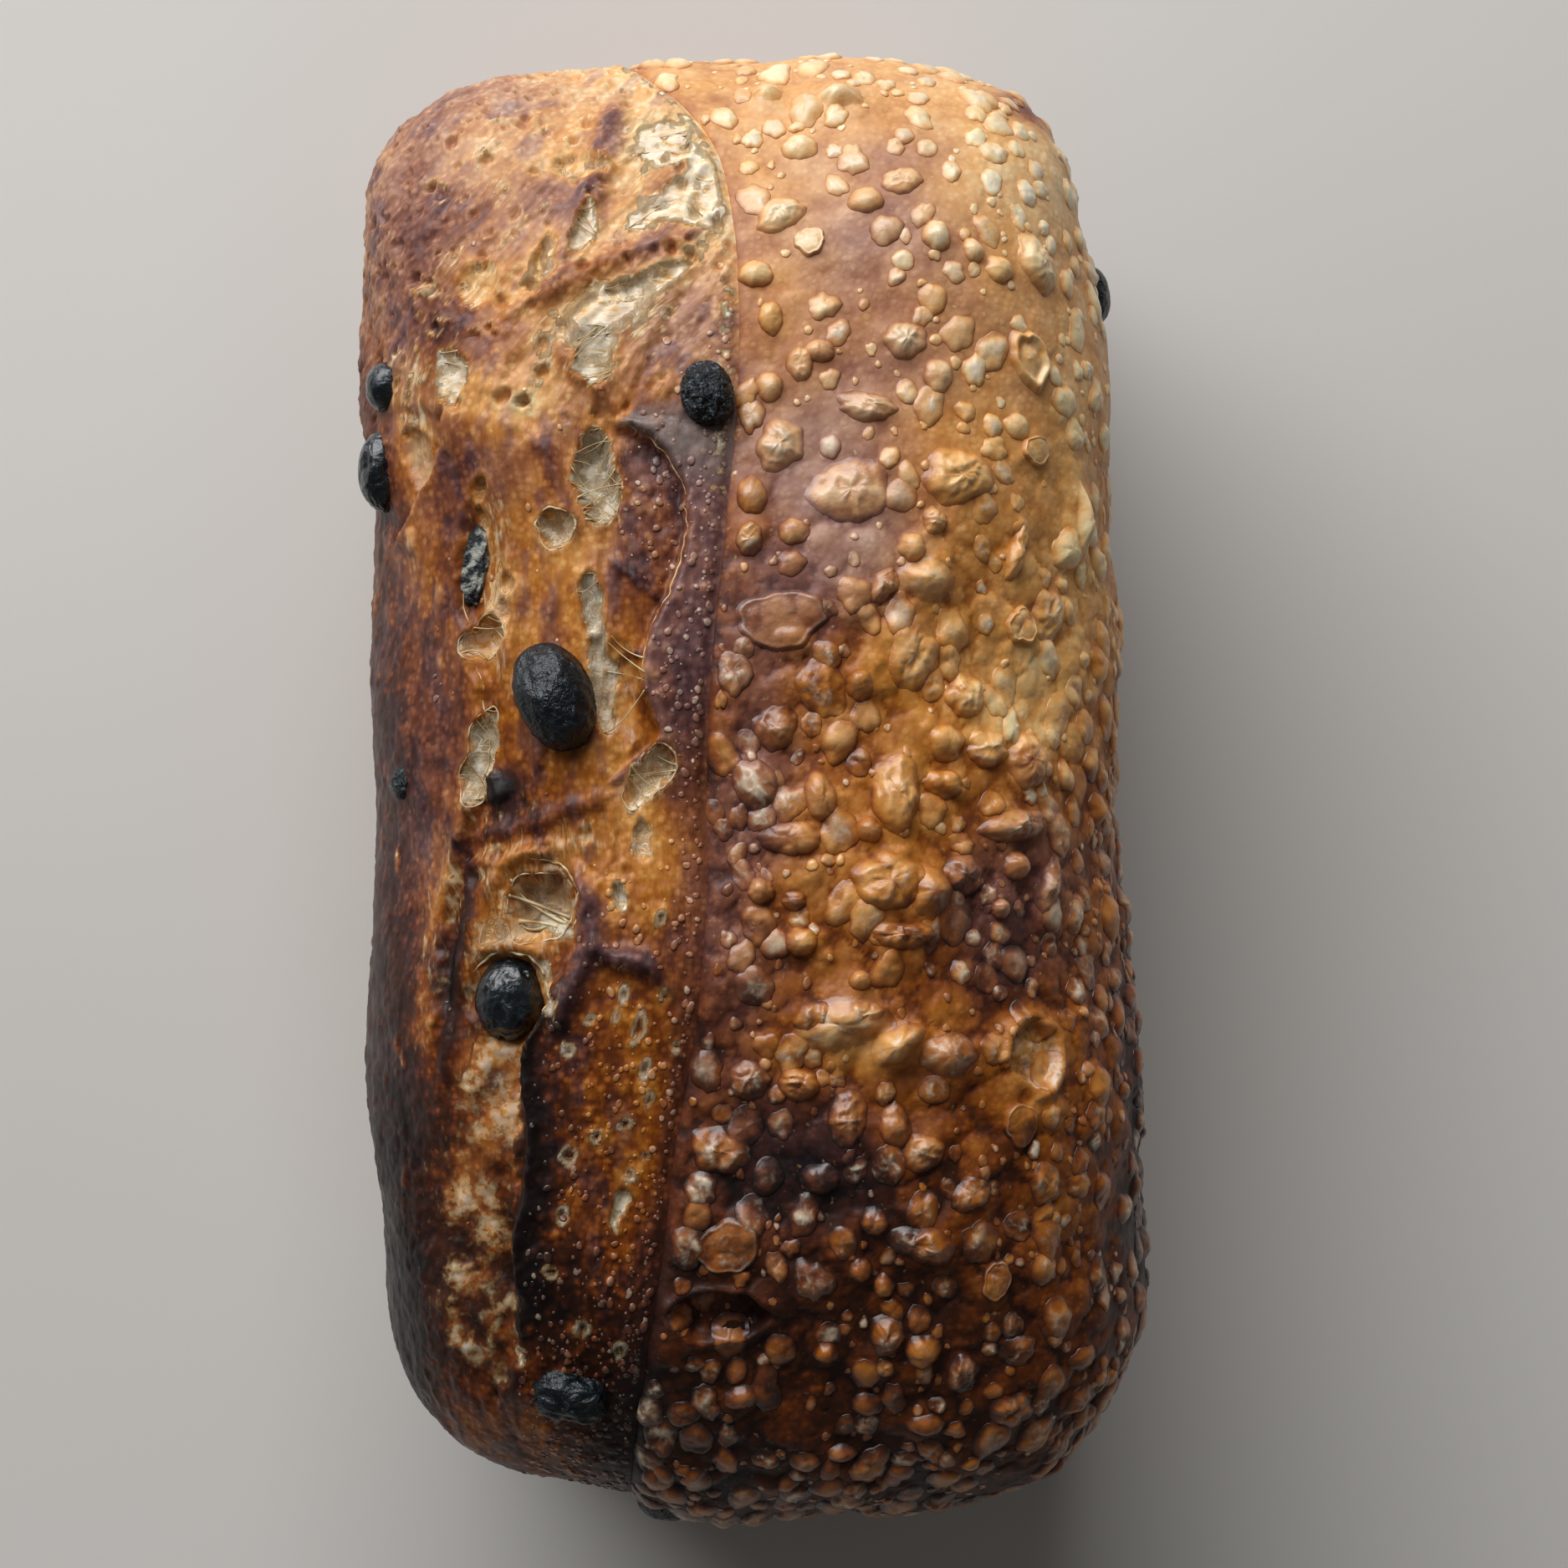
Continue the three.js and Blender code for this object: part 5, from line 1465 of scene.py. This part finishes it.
def tinWallPiece():
    # the rim's outline goes down with the tin's taper, round a corner, and in to the base's middle
    shortCount = int(tinWalls["around"] * tinWalls["endShare"])
    longCount = tinWalls["around"] // 2 - shortCount
    short = np.linspace(-1, 1, shortCount, endpoint=False)
    long = np.linspace(-1, 1, longCount, endpoint=False)
    s = np.concatenate([short, np.ones(longCount), -short, -np.ones(longCount)])
    t = np.concatenate([-np.ones(shortCount), long, np.ones(shortCount), -long])
    rim, corner = loafForm["rim"], loafForm["baseCorner"]
    down = np.linspace(rim + 3, corner, tinWalls["down"])
    angle = np.linspace(0, np.pi / 2, tinWalls["corner"])[1:]
    level = np.concatenate([down, corner * (1 - np.sin(angle))])
    turned = np.concatenate([0 * down, corner * (1 - np.cos(angle))])
    lean = loafForm["taper"] * (1 - np.minimum(level, rim) / rim)
    stood = tinWalls["inset"] * smoothStep(level, 42, rim) + 1.6 * smoothStep(level, rim, rim + 3)
    inset = (lean + turned + stood)[:, None]
    points = topPoint(s[None, :], t[None, :], inset)
    points[..., 2] = level[:, None]
    ring = points[-1]
    shares = np.linspace(1, 0.04, tinWalls["under"])[1:, None, None]
    base = np.stack([ring[:, 0], ring[:, 1], 0 * ring[:, 0]], -1)[None] * shares
    points = np.concatenate([points, base])[:, ::-1]
    around = np.roll(points, -1, 1) - np.roll(points, 1, 1)
    normals = unit(np.cross(around, np.gradient(points, axis=0)))
    x, y, z = points[..., 0], points[..., 1], points[..., 2]
    isBase = z < 0.001
    pit, number = pores(points, 2.6, 201)
    hollow = smoothStep(pit, 0.34, 0.12) * smoothStep(number, 0.72, 0.8)
    swelling = smoothStep(layeredWaves(points, 11, 3, 211), 0.0, 0.5)
    crinkle = np.abs(layeredWaves(points * (1, 1, 2.2), 7, 3, 221))
    height = uneven(points) + 0.45 * swelling - 0.45 * crinkle - 0.5 * hollow
    height = np.where(isBase, 0, height * smoothStep(z, 0.0, 12))
    points = points + normals * height[..., None]
    points[..., 2] = np.maximum(points[..., 2], 0)
    brown = 0.58 + 0.16 * layeredWaves(points, 22, 4, 231) + 0.06 * layeredWaves(points, 3, 2, 241)
    brown = brown + 0.10 * smoothStep(z, 46, 60) + 0.08 * smoothStep(z, 14, 2) + 0.12 * isBase
    brown = brown + 0.14 * smoothStep(-y, 60, 116) - 0.12 * smoothStep(y, 70, 116) + 0.05 * hollow
    purple = 0.16 + 0.35 * layeredWaves(points, 15, 3, 251)
    rows, columns = points.shape[:2]
    faces = [gridFaces(rows, columns, wrap=True)]
    index = np.arange(columns)
    last = (rows - 1) * columns + index
    topHeart, baseHeart = rows * columns, rows * columns + 1
    faces.append(np.stack([np.roll(index, -1), index, np.full(columns, topHeart)], -1))
    faces.append(np.stack([last, np.roll(last, -1), np.full(columns, baseHeart)], -1))
    shell = np.vstack([points.reshape(-1, 3), (0, 0, 50), (0, 0, 0)])
    channels = {"brown": brown, "purple": purple, "golden": 0.45 - 0.5 * purple}
    channels |= {"crumb": 0 * x, "ash": 0 * x}
    for key, values in channels.items():
        channels[key] = np.append(np.clip(values, 0, 1).ravel(), [0.5, 0.8])
    look = crustLook | {"pebble": 1.3, "pebbleHigh": 0.02, "pebblePaler": 0.04, "mottle": 0.20}
    look |= {"shine": 0.3, "gloss": 0.50}
    material = bakedCrust("crust baked against the tin", look)
    writeMesh("tinWalls", shell, faces, channels, material, ["loaf"])


olives = {
    # half sizes along, across and through, turn of the long side, depth and size of folds, and skin
    "olive_by_score": ((5.1, 4.1, 4.3), 100, 0.80, 1.4, "dried"),
    "olive_large": ((8.5, 5.8, 6), 112, 0.60, 3.4, "leathery"),
    "olive_in_hollow": ((6.6, 5.4, 5.5), 80, 0.50, 2.6, "wet"),
    "olive_near_left": ((6, 4.7, 4.4), -8, 1.30, 4.0, "leathery"),
    "olive_near_end": ((5, 4.6, 4.6), 20, 0.40, 2.6, "dried"),
    "olive_left_far": ((4.4, 3.6, 3.6), 90, 0.15, 2.4, "wet"),
    "olive_left_mid": ((6.6, 4, 4), 88, 0.50, 3.0, "wet"),
    "olive_left_small": ((3, 2.4, 2.6), 70, 0.25, 1.8, "dried"),
    "olive_right": ((5.6, 4.4, 4.4), 92, 0.30, 2.6, "leathery"),
    "olive_floured": ((6.4, 2.6, 1.5), 82, 0.90, 2.0, "floured"),
}
oliveMesh = {
    "rows": 78,
    "columns": 112,
    "power": 2.15,  # of the superellipsoid: 2 is round, more is boxier
}
# grain is the width of wrinkles and patch that of dusty places, in millimetres; dust gathers from
# the noise value dustFrom on
oliveSkins = {
    "dried": {
        "grain": 0.9, "patch": 0.8, "dustFrom": 0.56, "dust": 0.45, "bloom": "#8FA3B2",
        "relief": 1.0, "roughness": 0.24, "oil": 0.0,
    },
    "leathery": {
        "grain": 1.1, "patch": 0.8, "dustFrom": 0.56, "dust": 0.12, "bloom": "#56707E",
        "relief": 0.55, "roughness": 0.27, "oil": 0.0,
    },
    "wet": {
        "grain": 1.5, "patch": 0.8, "dustFrom": 0.56, "dust": 0.05, "bloom": "#7C8E96",
        "relief": 0.50, "roughness": 0.24, "oil": 0.5,
    },
    "floured": {
        "grain": 1.0, "patch": 2.4, "dustFrom": 0.45, "dust": 0.95, "bloom": "#A3A49A",
        "relief": 0.9, "roughness": 0.50, "oil": 0.0,
    },
}


def oliveShape(name, half, turn, foldDepth, foldSize, skin, seed):
    # a superellipsoid in the solid's box, drawn into folds along it by noise squeezed that way
    low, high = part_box(name)
    centre = (np.array(low) + np.array(high)) / 2 * 1000 - loafForm["originShift"]
    rows, columns, power = oliveMesh["rows"], oliveMesh["columns"], oliveMesh["power"]
    polar = np.linspace(0, np.pi, rows)[1:-1, None]
    ring = np.linspace(0, 2 * np.pi, columns, endpoint=False)[None]
    ball = np.cos(polar) + 0 * ring, np.sin(polar) * np.cos(ring), np.sin(polar) * np.sin(ring)
    ball = np.concatenate([np.stack(ball, -1).reshape(-1, 3), [(1, 0, 0), (-1, 0, 0)]])
    ball = ball / (np.abs(ball) ** power).sum(-1, keepdims=True) ** (1 / power)
    local = ball * half
    drawn = local * (0.5, 1, 1) + 0.8 * noises(local + seed, 3, (301, 302, 303))
    folds = np.abs(layeredWaves(drawn + seed * 31, foldSize, 3, 305))
    dents = waves(local + seed * 17, 6, 311)
    depth = (0.15 - folds) * foldDepth * 2 + 0.45 * dents - 0.25
    local = local * (1 + depth[:, None] / np.mean(half))
    s, t = stepsOver(np.array(centre[0]), np.array(centre[1]))
    step = 0.01  # a small step over the crust, to find which way is up there
    across = topPoint(s + step, t) - topPoint(s - step, t)
    up = unit(np.cross(across, topPoint(s, t + step) - topPoint(s, t - step)))
    angle = np.radians(turn)
    long = np.array([np.cos(angle), np.sin(angle), 0])
    wide = unit(np.cross(up, long))
    long = np.cross(wide, up)
    points = centre + local @ np.stack([long, wide, up])
    inner = rows - 2
    index = np.arange(columns)
    start, end = inner * columns, inner * columns + 1
    last = (inner - 1) * columns + index
    faces = [
        gridFaces(inner, columns, wrap=True),
        np.stack([np.full(columns, start), np.roll(index, -1), index], -1),
        np.stack([np.full(columns, end), last, np.roll(last, -1)], -1),
    ]
    faces = [part[:, ::-1] for part in faces]
    writeMesh(name + "_skin", points, faces, {}, skin, [name], "olive_skin")


threads = {
    # hole's place, half sizes, turn, threads over it, half thickness
    "spans": [
        (-23.4, 42.4, 3.3, 7.6, 3, 26, 0.08), (-23.5, 60.5, 3.4, 4.4, 5, 14, 0.08),
        (-32.0, -21.0, 4.6, 4.2, -20, 5, 0.20), (-15.4, -2.6, 2.5, 5.0, -36, 7, 0.09),
        (-29.4, 34.6, 2.3, 3.2, 0, 5, 0.08), (-40.6, 18.7, 2.7, 3.6, -12, 5, 0.09),
        (-16.2, 72.6, 7.4, 1.7, 27, 12, 0.08), (-41.2, 1.0, 1.8, 7.4, -12, 10, 0.08),
        (-24.2, 23.4, 2.0, 5.0, -6, 6, 0.08), (-19.6, 9.6, 3.9, 8.6, 2, 5, 0.08),
        (-7.9, 87.6, 2.1, 4.6, -10, 7, 0.08), (-25.8, 81, 1.8, 4.4, -12, 6, 0.08),
        (-44.6, 58.6, 2.4, 4.3, -8, 5, 0.09), (-13.6, 96.3, 4.6, 4.2, 20, 10, 0.08),
        (-16.0, 84.0, 4.2, 1.6, 26, 7, 0.08),
    ],
    "points": 13,  # along each thread
    "sides": 5,  # round every tube
    "rim": 0.17,  # half thickness of the rims round the holes
    "rimPoints": 73,  # along each rim; a lip takes two such lengths
    # dried rims of lips: half thickness and the path
    "lipRims": [
        (0.14, burst["archLip"]["path"][1:11]),
        (0.13, burst["midFlap"]["path"][1:7]),
        (0.15, burst["shoulderLip"]["path"]),
        (0.24,
         [(-42.2, -31), (-39.4, -28.9), (-35.4, -28.6), (-32.2, -30.4), (-30.4, -34),
          (-30.8, -38.5)]),
        (0.20, [(-33.5, -14.5), (-29.6, -15.2), (-27.2, -18), (-26.4, -22), (-27.6, -26.4)]),
    ],
    "seed": 47,
}


def onTornEdge(px, py, wander):
    # moves places on a smooth path to where the torn edge wandered
    x, y = px, py
    for _ in range(3):
        bend, fray = tornWander(topPoint(*stepsOver(x, y)))
        x, y = px - wander * bend[..., 0] - fray[..., 0], py - wander * bend[..., 1] - fray[..., 1]
    return x, y


def ovalPoints(ring, at, size, turn, wider):
    # places on a turned oval: its half sizes times cosine and sine, turned on the plan
    angle = np.radians(turn)
    u, v = size[0] * np.cos(ring) * wider, size[1] * np.sin(ring) * wider
    x = at[0] + u * np.cos(angle) - v * np.sin(angle)
    return x, at[1] + u * np.sin(angle) + v * np.cos(angle)


def tubes(centre, thick):
    # tubes with a few sides, closed by lids, along rows of points
    sides = threads["sides"]
    forward = unit(np.gradient(centre, axis=1))
    side = unit(np.cross(forward, np.array([0.0, 0.0, 1.0])))
    up = np.cross(side, forward)
    ring = np.linspace(0, 2 * np.pi, sides, endpoint=False)
    circle = side[:, :, None] * np.cos(ring)[:, None] + up[:, :, None] * np.sin(ring)[:, None]
    points = centre[:, :, None] + circle * thick[:, :, None, None]
    each = points.shape[1] * sides
    shift = (np.arange(len(points)) * each)[:, None, None]
    quads = (gridFaces(points.shape[1], sides, wrap=True)[None] + shift).reshape(-1, 4)
    lid = np.stack([np.arange(sides)[::-1], each - sides + np.arange(sides)])
    lids = (lid[None] + shift).reshape(-1, sides)
    return points, [quads[:, ::-1], lids[:, ::-1]]


def threadPiece(crust, material):
    # a thin tube along each thread, which sags as a parabola from rim to rim of its hole
    dice = np.random.default_rng(threads["seed"])
    starts, ends, thick = [], [], []
    for hx, hy, wide, long, turn, count, half in threads["spans"]:
        first = dice.uniform(0, 2 * np.pi, count)
        second = np.pi - first + dice.normal(0, 0.55, count)
        for ring, found in ((first, starts), (second, ends)):
            spot = ovalPoints(ring, (hx, hy), (wide, long), turn, 1.06)
            found.append(np.stack(onTornEdge(*spot, 1.4), -1))
        thick.append(half * dice.uniform(0.5, 1.2, count))
    start, end, thick = np.vstack(starts), np.vstack(ends), np.concatenate(thick)
    start, end = (crust.at(*stepsOver(*spots.T))[0] for spots in (start, end))
    run = np.linspace(0, 1, threads["points"])[None, :, None]
    sag = 4 * run * (1 - run)
    span = np.linalg.norm(end - start, axis=1)[:, None, None]
    sideways = dice.normal(0, 0.10, (len(span), 1, 3)) * span * sag
    centre = mix(start[:, None], end[:, None], run) + sideways
    centre[..., 2] -= (0.12 * span * sag)[..., 0] + 0.1
    width = thick[:, None] * (1 + 0.9 * np.abs(2 * run[..., 0] - 1) ** 3)
    points, faces = tubes(centre, width)
    writeMesh("glutenThreads", points, faces, {}, material, ["loaf"])


def rimPiece(crust, material):
    # a thin tube along the dried rim of each hole and each torn lip, thick and thin by turns
    rows, thick = [], []
    count = threads["rimPoints"]
    ring = np.linspace(0, 2 * np.pi, count)
    for hx, hy, wide, long, turn, depth, torn, *_ in burst["holes"]:
        if depth > 1.4 and torn > 0.5 and hy < 40:
            spot = ovalPoints(ring, (hx, hy), (wide, long), turn, 1.04)
            rows.append(np.stack(onTornEdge(*spot, 1.4), -1))
            thick.append(np.full(count, threads["rim"] * min(1, (wide + long) / 5)))
    for half, path in threads["lipRims"]:
        curve = curveThrough(path)
        share = np.linspace(0, 1, 2 * count)
        spot = (np.interp(share, np.linspace(0, 1, len(curve)), curve[:, k]) for k in (0, 1))
        x, y = onTornEdge(*spot, 0.5)
        tapered = half * smoothStep(share, 0, 0.12) * smoothStep(share, 1, 0.88)
        for part in (slice(0, count), slice(count - 1, 2 * count - 1)):
            rows.append(np.stack([x[part], y[part]], -1))
            thick.append(tapered[part])
    spots, thick = np.stack(rows), np.stack(thick)
    on, up, _ = crust.at(*stepsOver(spots[..., 0], spots[..., 1]))
    full = smoothStep(layeredWaves(on, 2.4, 2, 331), -0.35, 0.3)
    width = np.maximum(thick * (0.2 + full), 0.02)
    points, faces = tubes(on - up * (0.35 * (1 - full) * thick)[..., None], width)
    writeMesh("tornRims", points, faces, {}, material, ["loaf"])


film = blisterFilm("dried amber blister film")
rightCrust = blisteredCrust()
largeBlisters(rightCrust, film)
beadBlisters(rightCrust, film)
print("blistered crust made")
leftCrust = burstCrust()
leftBeadBlisters(leftCrust, film)
gluten = glutenMaterial()
threadPiece(leftCrust, gluten)
rimPiece(leftCrust, gluten)
print("burst crust made")
tinWallPiece()
print("walls made")
skins = {
    key: oliveSkinMaterial(key + " black olive skin", look) for key, look in oliveSkins.items()
}
for seed, (name, (*shape, skin)) in enumerate(olives.items()):
    oliveShape(name, *shape, skins[skin], seed)
print("olives made")


# in metres, watts and degrees
studio = {
    "keyPower": 44,
    "keySize": (1.9, 1.2),
    "keyFrom": (-0.55, 1.30, 1.04),
    "keyColour": (0.97, 0.98, 1.0),
    "sky": 0.085,
    "skyColour": (1.0, 0.98, 0.95, 1),
    "floorHalf": 3.0,
    "cameraTilt": 4.0,
    "cameraDistance": 0.592,
    "cameraAim": (0.00544, -0.0002, 0.060),
    "lens": 85,
}


def keyLight():
    # a wide soft light from behind the far end, turned towards the loaf's middle
    light = bpy.data.lights.new("keyLight", "AREA")
    light.shape = "RECTANGLE"
    light.energy, light.color = studio["keyPower"], studio["keyColour"]
    light.size, light.size_y = studio["keySize"]
    lamp = bpy.data.objects.new("keyLight", light)
    bpy.context.scene.collection.objects.link(lamp)
    lamp.location = studio["keyFrom"]
    direction = Vector((0, 0, 0.06)) - lamp.location
    lamp.rotation_euler = direction.to_track_quat("-Z", "Y").to_euler()


def paleFloor():
    # Matt laminate table top: plain, pale and slightly uneven in tone.
    mesh = bpy.data.meshes.new("floor")
    half = studio["floorHalf"]
    corners = [(-half, -half, 0), (half, -half, 0), (half, half, 0), (-half, half, 0)]
    mesh.from_pydata(corners, [], [(0, 1, 2, 3)])
    material, add = newMaterial("pale matt table top")
    place = add("TexCoord", out="Object")
    cloud = add("TexNoise", {"Vector": place, "Scale": 6.0, "Detail": 0.0})
    tone = add("ValToRGB", {"Fac": cloud}, stops=[(0.3, "#D2CEC8"), (0.7, "#D8D5CF")])
    shader = add("BsdfPrincipled", {"Base Color": tone, "Roughness": 0.6, "IOR": 1.45})
    add("OutputMaterial", {"Surface": shader})
    mesh.materials.append(material)
    floor = bpy.data.objects.new("floor", mesh)
    bpy.context.scene.collection.objects.link(floor)


paleFloor()
keyLight()
world = bpy.data.worlds.new("studio")
world.use_nodes = True
sky = world.node_tree.nodes["Background"].inputs
sky["Color"].default_value = studio["skyColour"]
sky["Strength"].default_value = studio["sky"]
bpy.context.scene.world = world
bpy.context.scene.view_settings.view_transform = "Standard"

lens = bpy.data.cameras.new("camera")
lens.lens, lens.sensor_width = studio["lens"], 36
camera = bpy.data.objects.new("camera", lens)
bpy.context.scene.collection.objects.link(camera)
tilt = np.radians(studio["cameraTilt"])
back = np.array([0, -np.sin(tilt), np.cos(tilt)]) * studio["cameraDistance"]
camera.location = np.array(studio["cameraAim"]) + back
camera.rotation_euler = (tilt, 0, 0)
bpy.context.scene.camera = camera
